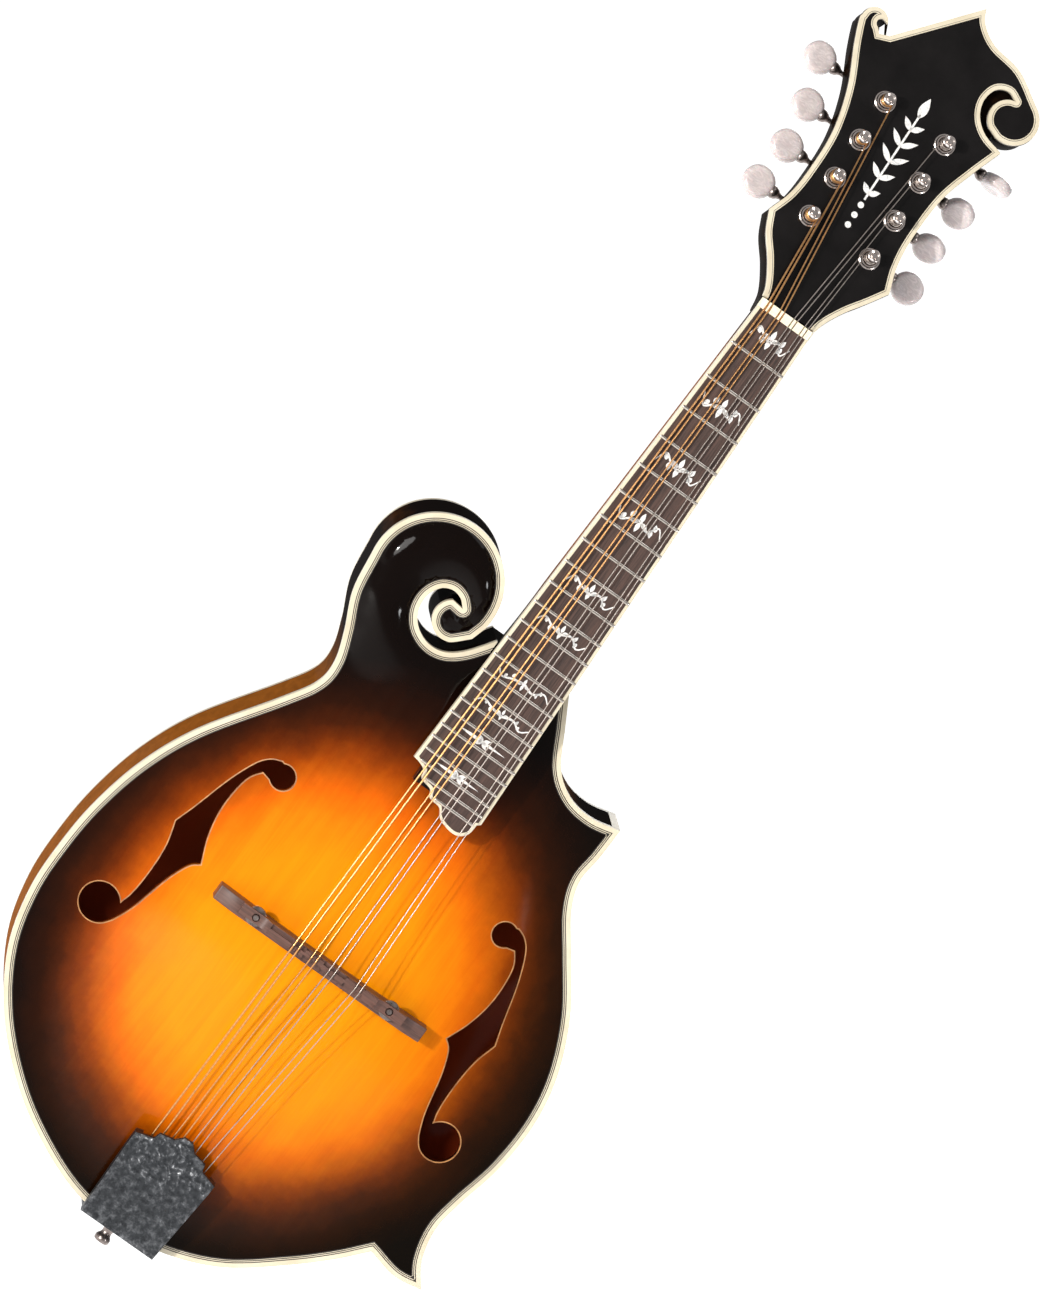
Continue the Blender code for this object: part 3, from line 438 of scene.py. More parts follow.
def step_between(low, high, value):
    """0 below low, 1 above high and smooth between, for arrays."""
    t = np.clip((np.asarray(value, float) - low) / (high - low), 0, 1)
    return t * t * (3 - 2 * t)


def edge_distance(x, z):
    """Distance from points to the body's edge, for arrays."""
    return distance_to(np.stack([x, z], 1), OUTLINE)


def arch(x, z, edge):
    """Height of the carved plates' arching, 0 at the edge and 1 at the middle, for arrays."""
    reach = np.where(z > ARCH_CENTRE_Z, ARCH_UP, ARCH_DOWN)
    radius = np.minimum(np.hypot(x / ARCH_HALF_WIDTH, (z - ARCH_CENTRE_Z) / reach), 1)
    recurve = step_between(0, RECURVE_WIDTH * 2, edge)
    return 0.5 * (1 + np.cos(np.pi * radius ** ARCH_FULLNESS)) * recurve


def scroll_swell(x, z, edge):
    """The rounded ridge that runs out into the scroll."""
    near = 1 - step_between(26, 60, np.hypot(x - LOBE_CENTRE[0], z - LOBE_CENTRE[1]))
    side = np.clip(edge - BINDING_WIDTH, 0, 14) / 14
    return 4.0 * near * np.sqrt(np.maximum(0, 1 - (1 - side) ** 2))


def burst_of(x, z):
    """How far out in the sunburst a point is: 0 in the middle, 1 at the start of the black edge."""
    reach = np.where(z > -20, 125.0, 112.0)
    return np.hypot((x + 3) / 104.0, (z + 20) / reach)


# ---------------------------------------------------------------- materials

class Material:
    """A node material: its shader's sockets are set directly, other nodes are added and linked."""

    def __init__(self, name, **sockets):
        self.material = bpy.data.materials.new(name)
        self.material.use_nodes = True
        self.tree = self.material.node_tree
        self.shader = self.tree.nodes["Principled BSDF"]
        for socket, value in sockets.items():
            self.shader.inputs[socket.replace("_", " ")].default_value = value

    def add(self, kind, inputs=None, **settings):
        node = self.tree.nodes.new(kind)
        for key, value in settings.items():
            setattr(node, key, value)
        for key, value in (inputs or {}).items():
            if isinstance(value, bpy.types.NodeSocket):
                self.tree.links.new(value, node.inputs[key])
            else:
                node.inputs[key].default_value = value
        return node

    def link(self, output, socket):
        self.tree.links.new(output, self.shader.inputs[socket])

    def place(self, scale=(1, 1, 1)):
        """Object coordinates in metres, stretched."""
        place = self.add("ShaderNodeTexCoord")
        mapping = self.add("ShaderNodeMapping", {"Vector": place.outputs["Object"], "Scale": scale})
        return mapping.outputs["Vector"]

    def noise(self, scale, detail=3.0, roughness=0.5, stretch=(1, 1, 1), distortion=0.0):
        inputs = {"Vector": self.place(stretch), "Scale": scale, "Detail": detail, "Roughness": roughness,
                  "Distortion": distortion}
        return self.add("ShaderNodeTexNoise", inputs).outputs["Fac"]

    def attribute(self, name):
        return self.add("ShaderNodeAttribute", attribute_name=name).outputs["Fac"]

    def maths(self, operation, a, b=0.0, clamp=False):
        return self.add("ShaderNodeMath", {0: a, 1: b}, operation=operation, use_clamp=clamp).outputs[0]

    def ramp(self, factor, stops):
        node = self.add("ShaderNodeValToRGB", {"Fac": factor})
        band = node.color_ramp
        while len(band.elements) > 1:
            band.elements.remove(band.elements[-1])
        band.elements[0].position = stops[0][0]
        band.elements[0].color = (*stops[0][1], 1)
        for position, colour in stops[1:]:
            band.elements.new(position).color = (*colour, 1)
        return node.outputs["Color"]

    def mix(self, factor, a, b, blend="MIX"):
        node = self.add("ShaderNodeMix", data_type="RGBA", blend_type=blend)
        for socket, value in zip((node.inputs[0], node.inputs[6], node.inputs[7]), (factor, a, b)):
            if isinstance(value, bpy.types.NodeSocket):
                self.tree.links.new(value, socket)
            else:
                socket.default_value = value if isinstance(value, float) else (*value, 1)
        return node.outputs[2]

    def range(self, value, low, high):
        node = self.add("ShaderNodeMapRange", {"Value": value, "To Min": low, "To Max": high})
        return node.outputs["Result"]

    def bump(self, height, distance, strength=1.0):
        node = self.add("ShaderNodeBump", {"Height": height, "Distance": distance, "Strength": strength})
        self.link(node.outputs["Normal"], "Normal")


def top_varnish():
    """Yellow to orange to black sunburst over fine straight grain, under gloss lacquer."""
    m = Material("sunburst_top", Coat_Weight=0.6, Coat_Roughness=0.08, Coat_IOR=1.3, Specular_IOR_Level=0.0)
    cloud = m.noise(42, 5, 0.65)
    grain = m.noise(1.0, 5, 0.7, (1300, 60, 22))
    fibre = m.noise(1.0, 4, 0.65, (240, 60, 16), 0.4)
    out = m.maths("ADD", m.attribute("burst"), m.range(cloud, -0.07, 0.07))
    out = m.maths("MULTIPLY", out, 0.8)
    colour = m.ramp(out, [(0.0, (0.96, 0.335, 0.005)), (0.4, (0.92, 0.28, 0.004)),
                          (0.53, (0.86, 0.205, 0.004)), (0.6, (0.68, 0.13, 0.003)),
                          (0.65, (0.45, 0.09, 0.003)), (0.7, (0.25, 0.045, 0.002)),
                          (0.75, (0.12, 0.021, 0.0015)), (0.8, (0.05, 0.01, 0.0015)),
                          (0.86, (0.02, 0.005, 0.0015)), (0.94, (0.007, 0.0025, 0.0015)),
                          (1.0, (0.0035, 0.0018, 0.0015))])
    # Painted shade, partly a real tint: toward the lower right, away from the key light, the sunburst is
    # multiplied darker and less blue.
    tinted_and_shaded = m.mix(m.attribute("warmth"), colour, (0.86, 0.97, 0.4), "MULTIPLY")
    lined = m.mix(m.range(grain, 0.0, 0.65), tinted_and_shaded, (0.8, 0.6, 0.35), "MULTIPLY")
    lined = m.mix(m.range(fibre, -0.6, 1.1), lined, (0.9, 0.72, 0.45), "MULTIPLY")
    # Painted shade: the plate's rear face, in the dark of the body's interior, is mixed to near black.
    inner_face_shade = m.mix(m.attribute("shade"), lined, (0.03, 0.005, 0.003))
    m.link(inner_face_shade, "Base Color")
    m.link(m.range(cloud, 0.32, 0.42), "Roughness")
    m.bump(grain, 0.00003, 0.4)
    return m.material


def side_varnish(name, amber, dark, gloss):
    """Flamed maple under amber to black lacquer, with painted shade on faces within the body, coloured darker
    red.
    """
    m = Material(name, Coat_Weight=gloss, Coat_Roughness=0.1, Coat_IOR=1.3, Specular_IOR_Level=0.0)
    flame = m.noise(1.0, 3, 0.55, (70, 70, 240), 0.6)
    pores = m.noise(1.0, 4, 0.7, (900, 900, 60))
    wood = m.mix(m.range(flame, 0.0, 1.0), amber, tuple(c * 0.42 for c in amber))
    wood = m.mix(m.range(pores, 0.0, 0.35), wood, tuple(c * 0.5 for c in amber))
    out = m.maths("ADD", m.attribute("burst"), m.range(flame, -0.06, 0.06))
    fade = m.ramp(out, [(0.0, (0, 0, 0)), (0.35, (0.06, 0.06, 0.06)), (0.75, (0.7, 0.7, 0.7)),
                        (1.0, (1, 1, 1))])
    # Painted shade: faces within the body are coloured darker red in place of bare wood.
    m.link(m.mix(m.attribute("inside"), m.mix(fade, wood, dark), (0.5, 0.07, 0.02)), "Base Color")
    m.link(m.range(flame, 0.3, 0.4), "Roughness")
    m.bump(pores, 0.00002, 0.4)
    return m.material


def plain(name, light, dark, scale, roughness=(0.3, 0.45), stretch=(1, 1, 1), detail=4.0, bump=0.00004,
          distortion=0.0, **sockets):
    """A surface whose colour, gloss and relief follow one noise."""
    m = Material(name, **sockets)
    cloud = m.noise(scale, detail, 0.6, stretch, distortion)
    m.link(m.ramp(cloud, [(0.3, dark), (0.7, light)]), "Base Color")
    m.link(m.range(cloud, *roughness), "Roughness")
    m.bump(cloud, bump, 0.5)
    return m.material


def wound(name, light, dark, pitch):
    """Wire wound round a core, as fine ridges along the string, with painted shade between the turns."""
    m = Material(name, Metallic=1.0, Roughness=0.3)
    wave = m.add("ShaderNodeTexWave", {"Vector": m.place(), "Scale": 1 / (pitch * 20 * MM)},
                 bands_direction="Z", wave_profile="SIN")
    tarnish = m.noise(300, 4, 0.6)
    # Painted shade: each turn is coloured dark except on its crest, for the shade between turns.
    ridge = m.mix(m.range(wave.outputs["Fac"], 0.7, 1.0), dark, light)
    m.link(m.mix(m.range(tarnish, 0.0, 0.4), ridge, dark), "Base Color")
    m.bump(wave.outputs["Fac"], 0.00002, 0.2)
    return m.material


def cast_metal():
    """Dark antiqued casting, speckled all over and worn bright on its high places."""
    m = Material("dark_casting", Metallic=0.85)
    pits = m.noise(900, 5, 0.6)
    speckle = m.noise(420, 3, 0.5)
    spots = m.range(m.noise(300, 4, 0.7), -1.2, 1.6)
    high = m.maths("MULTIPLY", m.attribute("relief"), spots, True)
    wear = m.maths("ADD", high, m.range(speckle, -0.05, 0.4), True)
    m.link(m.ramp(wear, [(0.0, (0.012, 0.013, 0.015)), (0.25, (0.05, 0.053, 0.058)),
                         (0.5, (0.14, 0.145, 0.155)), (0.8, (0.75, 0.76, 0.78))]), "Base Color")
    m.link(m.range(pits, 0.3, 0.6), "Roughness")
    m.bump(speckle, 0.0003, 0.7)
    return m.material


def shell():
    """Shell inlay: soft bands of white, grey and pink."""
    m = Material("shell_inlay", Roughness=0.22, Coat_Weight=0.8, Coat_Roughness=0.08)
    bands = m.noise(330, 3, 0.6, (1, 1, 2.2), 1.4)
    m.link(m.ramp(bands, [(0.3, (0.42, 0.45, 0.46)), (0.45, (0.78, 0.76, 0.74)), (0.58, (0.92, 0.9, 0.86)),
                          (0.7, (0.66, 0.6, 0.62))]), "Base Color")
    m.bump(bands, 0.00003, 0.4)
    return m.material


TOP = top_varnish()
SIDE = side_varnish("amber_side", (0.34, 0.105, 0.012), (0.004, 0.002, 0.0015), 0.03)
BACK = side_varnish("brown_back", (0.4, 0.125, 0.016), (0.005, 0.003, 0.002), 0.5)
NECK = side_varnish("neck_varnish", (0.3, 0.09, 0.015), (0.005, 0.003, 0.002), 0.08)
SIDE_LINE = plain("dark_edge_line", (0.03, 0.024, 0.02), (0.012, 0.01, 0.009), 300)
IVOROID = plain("cream_binding", (0.72, 0.65, 0.5), (0.62, 0.54, 0.39), 60, (0.34, 0.46), Coat_Weight=0.3,
                Coat_Roughness=0.12)
BAND_MATERIALS = (IVOROID, SIDE_LINE)
BONE = plain("bone", (0.88, 0.82, 0.66), (0.8, 0.7, 0.5), 160, (0.32, 0.45), (1, 1, 4), Coat_Weight=0.3,
             Coat_Roughness=0.15, Subsurface_Weight=0.1, Subsurface_Scale=0.001)
BLACK = plain("black_lacquer", (0.009, 0.008, 0.008), (0.005, 0.0045, 0.0045), 60, (0.25, 0.35),
              Coat_Weight=0.7, Coat_Roughness=0.05, Coat_IOR=1.3, Specular_IOR_Level=0.02, bump=0.00001)
ROSEWOOD = plain("rosewood_board", (0.09, 0.045, 0.033), (0.015, 0.008, 0.006), 1.0, (0.5, 0.7),
                 (900, 200, 30), 6, 0.00006, 1.2)
BRIDGE_WOOD = plain("rosewood_bridge", (0.16, 0.07, 0.05), (0.04, 0.018, 0.013), 1.0, (0.4, 0.6),
                    (45, 200, 1300), 6, 0.00006, 1.0, Coat_Weight=0.15, Coat_Roughness=0.3)
NICKEL = plain("nickel", (0.78, 0.7, 0.66), (0.6, 0.52, 0.48), 500, (0.12, 0.24), bump=0.000008, Metallic=1.0)
DARK_NICKEL = plain("aged_nickel", (0.36, 0.31, 0.29), (0.17, 0.14, 0.13), 420, (0.2, 0.4), bump=0.00001,
                    Metallic=1.0)
FRET_WIRE = plain("fret_wire", (0.66, 0.6, 0.54), (0.5, 0.45, 0.4), 700, (0.18, 0.3), bump=0.000008,
                  Metallic=1.0)
BUTTON = plain("pearl_plastic", (0.7, 0.62, 0.61), (0.52, 0.45, 0.45), 260, (0.22, 0.32), (1, 1, 2.5), 3,
               0.00002, 1.5, Coat_Weight=0.8, Coat_Roughness=0.06, Subsurface_Weight=0.12,
               Subsurface_Scale=0.002)
PLAIN_WIRE = plain("plain_steel", (0.5, 0.44, 0.4), (0.32, 0.28, 0.25), 900, (0.3, 0.42), bump=0.000005,
                   Metallic=1.0)
BRONZE = wound("bronze_winding", (0.72, 0.4, 0.17), (0.34, 0.15, 0.05), 0.35)
INSIDE = plain("bare_spruce", (0.66, 0.47, 0.27), (0.5, 0.32, 0.16), 1.0, (0.6, 0.8), (900, 900, 30))
HOLE_EDGE = plain("sound_hole_edge", (0.5, 0.23, 0.07), (0.2, 0.075, 0.02), 220, (0.4, 0.6))
CASTING = cast_metal()
PEARL = shell()


# ---------------------------------------------------------------- body

def sound_hole(side):
    """The f-hole's outline on one side, two eyes joined by a swelling stem with a nick each side."""
    outer_nick = (88.9, 8.8)
    inner_nick = (68.7, -0.4)
    outer_edge = (smooth([(66.0, 58.7), (70.8, 56.3), (75.2, 50.7), (80.5, 37.4), (85.7, 18.8),
                          outer_nick], 5)
                  + smooth([outer_nick, (85.8, -2.5), (84.8, -16.0), (85.4, -29.3), (87.2, -36.7)], 5))
    lower_eye = arc((95.0, -41.8), 9.4, 147, -146, 34)
    inner_edge = (smooth([(86.6, -47.0), (81.6, -34.6), (77.2, -16.1), (72.8, -4.5), inner_nick], 5)[1:]
                  + smooth([inner_nick, (73.5, 11.8), (76.0, 26.3), (74.6, 42.6), (69.1, 51.5)], 5))
    upper_eye = arc((61.9, 53.2), 5.9, -46, -300, 26)
    return [(side * x, z) for x, z in [*outer_edge, *lower_eye, *inner_edge, *upper_eye]]


def grown(loop, distance):
    """An outline of either direction, moved outward with pointed corners."""
    points = np.array(loop)
    following = np.roll(points, -1, axis=0)
    area = (points[:, 0] * following[:, 1] - following[:, 0] * points[:, 1]).sum()
    if area > 0:
        points = points[::-1]
    result = []
    for before, point, after in zip(np.roll(points, 1, axis=0), points, np.roll(points, -1, axis=0)):
        normals = []
        for edge in (point - before, after - point):
            normals.append(np.array([-edge[1], edge[0]]) / max(np.linalg.norm(edge), 1e-9))
        middle = normals[0] + normals[1]
        middle /= max(np.linalg.norm(middle), 1e-9)
        result.append(tuple(point + middle * distance / max(0.5, middle @ normals[0])))
    return result


def plan_of(obj):
    points = np.array([v.co for v in obj.data.vertices])
    return points[:, 0], points[:, 1], points[:, 2]


def top_heights(x, z):
    edge = edge_distance(x, z)
    return -TOP_ARCH * arch(x, z, edge) - scroll_swell(x, z, edge)


def set_heights(obj, heights):
    for vertex, height in zip(obj.data.vertices, heights):
        vertex.co.y = height


def carved_plate(holes, front, back, cell):
    slab = prism([inset(OUTLINE, BINDING_WIDTH - 0.05), *holes], front, back)
    return sliced(slab, np.arange(-128, 129, cell), np.arange(-160, 200, cell))


def build_top():
    holes = [sound_hole(side) for side in (-1, 1)]
    top = carved_plate(holes, 0, PLATE_EDGE, 4.0)
    x, y, z = plan_of(top)
    burst = burst_of(x, z)
    write_attribute(top, "burst", burst)
    # Painted shade mixed with a real tint: 0 at the upper left, rising to 1 at the lower right, away from the
    # key light.
    write_attribute(top, "warmth", 1 - step_between(-1.1, 0.95, (0.7 * z - 1.1 * x) / 100))
    # Painted shade: marks the rear face (Y > 1) to be coloured near black, for the dark within the body.
    write_attribute(top, "shade", np.where(y > 1, 0.85, 0.0))
    set_heights(top, y + top_heights(x, z))
    put(top, "carved_top", BODY, TOP, replaces=["soundboard"])
    for side, word in ((-1, "bass"), (1, "treble")):
        hole = sound_hole(side)
        edge = prism([grown(hole, 0.55), hole], -0.06, 1.6)
        edge = sliced(edge, (), np.arange(-60, 64, 4.0))
        x, y, z = plan_of(edge)
        set_heights(edge, y + top_heights(x, z))
        put(edge, f"sound_hole_edge_{word}", BODY, HOLE_EDGE)


def wall_burst(x, z):
    """The sides darken toward the neck, the scroll and the two points."""
    nearest = np.full(len(x), 1e9)
    for spot, reach in (((-84, 146), 1.0), ((-58, 196), 0.8), ((-40, 150), 0.8), ((77, 121), 1.2),
                        ((20, 158), 1.0), ((128, -102), 1.3), ((0, -160), 1.7)):
        nearest = np.minimum(nearest, np.hypot(x - spot[0], z - spot[1]) * reach)
    return 1.02 - step_between(16, 78, nearest)


def build_back():
    back = carved_plate([], SIDE_DEPTH - PLATE_EDGE, SIDE_DEPTH, 5.0)
    x, y, z = plan_of(back)
    edge = edge_distance(x, z)
    write_attribute(back, "burst", np.maximum(burst_of(x, z) * 1.05 - 0.25, 0))
    # Painted shade: marks the back's inner face to be coloured darker red.
    write_attribute(back, "inside", (y < SIDE_DEPTH - 1).astype(float))
    set_heights(back, y + BACK_ARCH * arch(x, z, edge) + 0.8 * scroll_swell(x, z, edge))
    put(back, "carved_back", BODY, BACK, replaces=["back_plate"])


def build_sides():
    wall_front = PLATE_EDGE - 0.05
    wall_back = SIDE_DEPTH - PLATE_EDGE + 0.05
    corner = ((-95.0, -20, 118.0), (36.0, 80, 200.0))
    rim = prism([OUTLINE, inset(OUTLINE, RIM_THICKNESS)], wall_front, wall_back)
    rim = boolean(rim, [box(*corner)])
    block = boolean(prism([OUTLINE], wall_front, wall_back), [box(*corner)], "INTERSECT")
    for obj, name, node in ((rim, "rim_wall", "rim"), (block, "scroll_wall", "head_block")):
        x, _, z = plan_of(obj)
        write_attribute(obj, "burst", wall_burst(x, z))
        # Painted shade: marks the wall's inner faces to be coloured darker red.
        write_attribute(obj, "inside", (edge_distance(x, z) > 0.5).astype(float))
        put(obj, name, BODY, SIDE, replaces=[node])
    slot_box = ((-NECK_SLOT, -20, NECK_JOINT_Z - 8), (NECK_SLOT + 1.5, 80, NECK_JOINT_Z + 8))
    for word, front, back in (("top", -0.02, PLATE_EDGE), ("back", SIDE_DEPTH - PLATE_EDGE, SIDE_DEPTH)):
        ring = banded_ring(OUTLINE, BAND_STEPS, front, back, [slot_box])
        put(ring, f"{word}_binding_band", BODY, BAND_MATERIALS, replaces=[f"{word}_binding"])
    # Dark strips along the walls at the bindings: partly a dark ply, partly painted shade at the binding's
    # edge.
    for name, front in (("front_edge_ply_and_shade", PLATE_EDGE), ("back_edge_ply_and_shade", SIDE_DEPTH - PLATE_EDGE - 0.5)):
        line = prism([inset(OUTLINE, -0.04), inset(OUTLINE, 1.0)], front, front + 0.5)
        put(boolean(line, [box(*slot_box)]), name, BODY, SIDE_LINE)
    for name, tip in (("upper_point_cap", UPPER_POINT), ("lower_point_cap", LOWER_POINT)):
        corner = [p for p in OUTLINE if math.dist(p, tip) < 5.2]
        cap = prism([grown(corner, 0.06)], wall_front + 0.1, wall_back - 0.1)
        put(cap, name, BODY, IVOROID)


# ---------------------------------------------------------------- neck and fingerboard

def board_half(z):
    return BOARD_HALF_NUT - BOARD_FLARE * z


def board_end():
    end = [(-19.8, -254.4), (-14.5, -256.5), (-12.5, -260.5), (-6.5, -262.2), (-4.5, -265.5),
           (1.5, -266.5), (5.0, -270.5), (11.0, -272.4), (15.8, -272.0), (19.3, -268.5), (20.0, -262.0)]
    return smooth(end, 5) + [end[-1]]


def board_outline(margin):
    """The fingerboard's edge, clockwise from the nut's treble side, grown by a margin."""
    sides_top = board_half(0) + margin
    end = board_end()
    grown_end = []
    for x, z in end:
        lean = Vector((x / 3, min(0.0, z + 265.0) - 4)).normalized()
        grown_end.append((x + lean.x * (margin - BOARD_BINDING), z + lean.y * (margin - BOARD_BINDING)))
    grown_end[0] = (-board_half(end[0][1]) - margin, end[0][1] - margin + BOARD_BINDING)
    grown_end[-1] = (board_half(end[-1][1]) + margin, end[-1][1])
    return [(sides_top, 0), *reversed(grown_end), (-sides_top, 0)]


def span_at(loop, z):
    """Lowest and highest X of an outline at one height."""
    crossings = []
    for (x0, z0), (x1, z1) in zip(loop, loop[1:] + loop[:1]):
        if (z0 - z) * (z1 - z) < 0:
            crossings.append(x0 + (x1 - x0) * (z - z0) / (z1 - z0))
    return min(crossings), max(crossings)


def neck_section(z, count):
    """One D-shaped section of the neck's shaft and heel, at a height up the body."""
    along = (z - NUT_Z) / math.cos(NECK_ANGLE)
    rise = (BOARD_FRONT + BOARD_THICKNESS) / math.cos(NECK_ANGLE)
    top = NUT_Y - (NUT_Z - z) * math.tan(NECK_ANGLE) + rise
    half = board_half(along) + BOARD_BINDING
    heel = max(0.0, 1 - (z - NECK_JOINT_Z) / 34.0)
    depth = 13.5 + 0.02 * (NUT_Z - z) + (SIDE_DEPTH - top - 17.5) * heel ** 2.4
    roundness = 0.55 + 0.25 * heel
    points = []
    for i in range(count):
        angle = math.pi * i / (count - 1)
        squeeze = 1 - 0.42 * heel * math.sin(angle) ** 1.5
        points.append((half * squeeze * math.copysign(abs(math.cos(angle)) ** 0.75, math.cos(angle)),
                       top + depth * math.sin(angle) ** roundness, z))
    return points


def head_outline():
    """The headstock's edge, clockwise from the nut's bass side, Z up the head from the nut."""
    bass = [(-13.8, -5.5), (-15.4, 4.0), (-21.5, 15.0), (-29.0, 25.0)]
    bass_ear = (-33.5, 34.8)
    bass_side = [bass_ear, (-29.6, 47.0), (-28.3, 62.0), (-29.0, 82.0), (-34.3, 102.6), (-42.9, 121.4),
                 (-47.2, 132.5)]
    curl = arc((-41.0, 135.6), 6.2, 185, 20, 26)
    curl_inside = arc((-37.6, 136.1), 2.4, 60, 255, 16)
    crest = [(-36.0, 131.6), (-31.4, 133.6)]
    peak = (-1.5, 171.0)
    treble_crest = [peak, (2.0, 164.8), (11.0, 159.2), (27.0, 156.3)]
    lobe = arc((36.6, 136.4), 12.2, 62, -100, 40)
    lobe_inside = arc((35.0, 134.2), 9.6, -125, -245, 22)
    notch_end = (33.2, 143.6)
    notch_outside = [(28.0, 145.6), (22.5, 142.5), (20.6, 135.0), (23.4, 127.5), (30.0, 122.2)]
    treble_shoulder = (40.3, 119.6)
    treble_side = [treble_shoulder, (34.6, 103.5), (29.4, 85.0), (28.0, 62.0), (29.4, 47.0)]
    treble_ear = (33.2, 34.8)
    treble = [treble_ear, (27.5, 25.5), (20.6, 15.0), (15.4, 4.0), (13.8, -5.5)]
    return (smooth([*bass, bass_ear]) + smooth([*bass_side, curl[0]]) + curl + curl_inside + crest
            + smooth([*treble_crest, lobe[0]]) + lobe + lobe_inside
            + smooth([notch_end, *notch_outside, treble_shoulder], 5)
            + smooth([*treble_side, treble_ear]) + smooth(treble) + [treble[-1]])


def post_place(side, number):
    return side * POST_X, FIRST_POST + POST_SPACING * number


def post_bores(front, back, clearance, sides=(-1, 1)):
    """Rods along the posts' axes, to cut the holes that the posts pass through."""
    bores = []
    for side in sides:
        for number in range(4):
            x, z = post_place(side, number)
            bores.append(rod((x, front, z), (x, back, z), POST_RADIUS + clearance))
    return bores


def fret_z(number):
    """Where a fret lies down the board from the nut, which is number 0."""
    return -SCALE_LENGTH * (1 - 2 ** (-number / 12))


def build_neck():
    heights = sorted({NECK_JOINT_Z, *np.arange(162, 204, 2.5), *np.arange(205, NUT_Z, 8), NUT_Z + 2.0})
    count = 41
    bm = bmesh.new()
    rings = [[bm.verts.new(p) for p in neck_section(z, count)] for z in heights]
    for lower, upper in zip(rings, rings[1:]):
        for i in range(count):
            j = (i + 1) % count
            bm.faces.new((lower[i], lower[j], upper[j], upper[i]))
    bm.faces.new(rings[0])
    bm.faces.new(reversed(rings[-1]))
    shaft = mesh_object(bm)
    head = prism([inset(HEAD_OUTLINE, 0.3)], OVERLAY_THICKNESS, HEAD_THICKNESS, 0.8)
    head.data.transform(HEAD_PLACE)
    web = prism([HEAD_NOTCH_WEB], OVERLAY_THICKNESS + 2.5, HEAD_THICKNESS - 0.5)
    web.data.transform(HEAD_PLACE)
    nut_room = box((-20, -20, -25), (20, BOARD_FRONT + BOARD_THICKNESS, NUT_LENGTH))
    nut_room.data.transform(BOARD_PLACE)
    bores = post_bores(-5, HEAD_THICKNESS + 5, 0.4)
    for bore in bores:
        bore.data.transform(HEAD_PLACE)
    neck = boolean(boolean(shaft, [head, web], "UNION"), [nut_room, *bores])
    x, _, z = plan_of(neck)
    dark = np.maximum(1 - step_between(165, 235, z), step_between(300, 352, z))
    write_attribute(neck, "burst", dark)
    write_attribute(neck, "inside", np.zeros(len(x)))
    put(neck, "neck_and_head", BODY, NECK, replaces=["neck"])


def build_board():
    board = prism([board_outline(0)], BOARD_FRONT, BOARD_FRONT + BOARD_THICKNESS)
    put(board, "rosewood_fingerboard", BOARD, ROSEWOOD, replaces=["fingerboard"])
    band = prism([board_outline(BOARD_BINDING)], BOARD_FRONT - 0.01, BOARD_FRONT + BOARD_THICKNESS, 0.3)
    room = prism([[(x, z if z < -1 else 5) for x, z in board_outline(-0.02)]], -5, 15)
    band = boolean(band, [room])
    put(band, "fingerboard_edge_band", BOARD, IVOROID, replaces=["fingerboard_binding"])


def build_frets():
    inner = board_outline(-0.1)
    outer = board_outline(BOARD_BINDING - 0.35)
    frets = []
    for number in range(1, FRET_COUNT + 1):
        z = fret_z(number)
        low, high = span_at(outer if number < 21 else inner, z)
        profile = [(0, low), (0.6, low), (0.85, low + 0.5), (0.85, high - 0.5), (0.6, high), (0, high)]
        fret = turned(profile, (0, 0, 0), (1, 0, 0), 16)
        squash = Matrix.Diagonal((1, FRET_HEIGHT / (FRET_WIDTH / 2), 1, 1))
        fret.data.transform(Matrix.Translation((0, BOARD_FRONT, z)) @ squash)
        frets.append(fret)
    put(joined(frets), "frets", BOARD, FRET_WIRE)


def build_nut():
    notches = [(-NUT_HALF_WIDTH, 6.0), (-NUT_HALF_WIDTH, -0.2), (-NUT_HALF_WIDTH + 0.8, -0.9)]
    for string, (_, _, nut_x, _, _) in enumerate(STRINGS):
        radius = STRING_RADII[string] + 0.08
        notches += [(nut_x - radius, -0.9), (nut_x - radius, 0.0)]
        notches += [(nut_x + radius * math.cos(a), radius * math.sin(a))
                    for a in np.radians([150, 120, 90, 60, 30])]
        notches += [(nut_x + radius, 0.0), (nut_x + radius, -0.9)]
    notches += [(NUT_HALF_WIDTH - 0.8, -0.9), (NUT_HALF_WIDTH, -0.2), (NUT_HALF_WIDTH, 6.0)]
    nut = prism([notches], -NUT_LENGTH, 0)
    nut.data.transform(Matrix.Rotation(-math.pi / 2, 4, "X"))
    put(nut, "bone_nut", BOARD, BONE, replaces=["nut"], sharp=50)


# ---------------------------------------------------------------- inlays

def leaf(centre, angle, length, width):
    """A pointed leaf, its base at centre, pointing along an angle in degrees."""
    a = math.radians(angle)
    loop = []
    for side in (1, -1):
        for i in range(9):
            t = i / 9 if side > 0 else 1 - i / 9
            across = side * width / 2 * math.sin(math.pi * t ** 0.8)
            loop.append((centre[0] + t * length * math.cos(a) - across * math.sin(a),
                         centre[1] + t * length * math.sin(a) + across * math.cos(a)))
    return loop


def ribbon(points, start_width, end_width):
    """A band of changing width along a curve."""
    line = np.array(smooth(points, 6) + [points[-1]])
    along = np.gradient(line, axis=0)
    normal = np.stack([-along[:, 1], along[:, 0]], 1) / np.linalg.norm(along, axis=1)[:, None]
    width = np.linspace(start_width, end_width, len(line))[:, None] / 2
    return [tuple(p) for p in np.concatenate([line + normal * width, (line - normal * width)[::-1]])]


def inlay(loops, name, front, matrix):
    shapes = [prism([loop], front - 0.03, front + 0.4) for loop in loops]
    put(joined(shapes), name, matrix, PEARL)


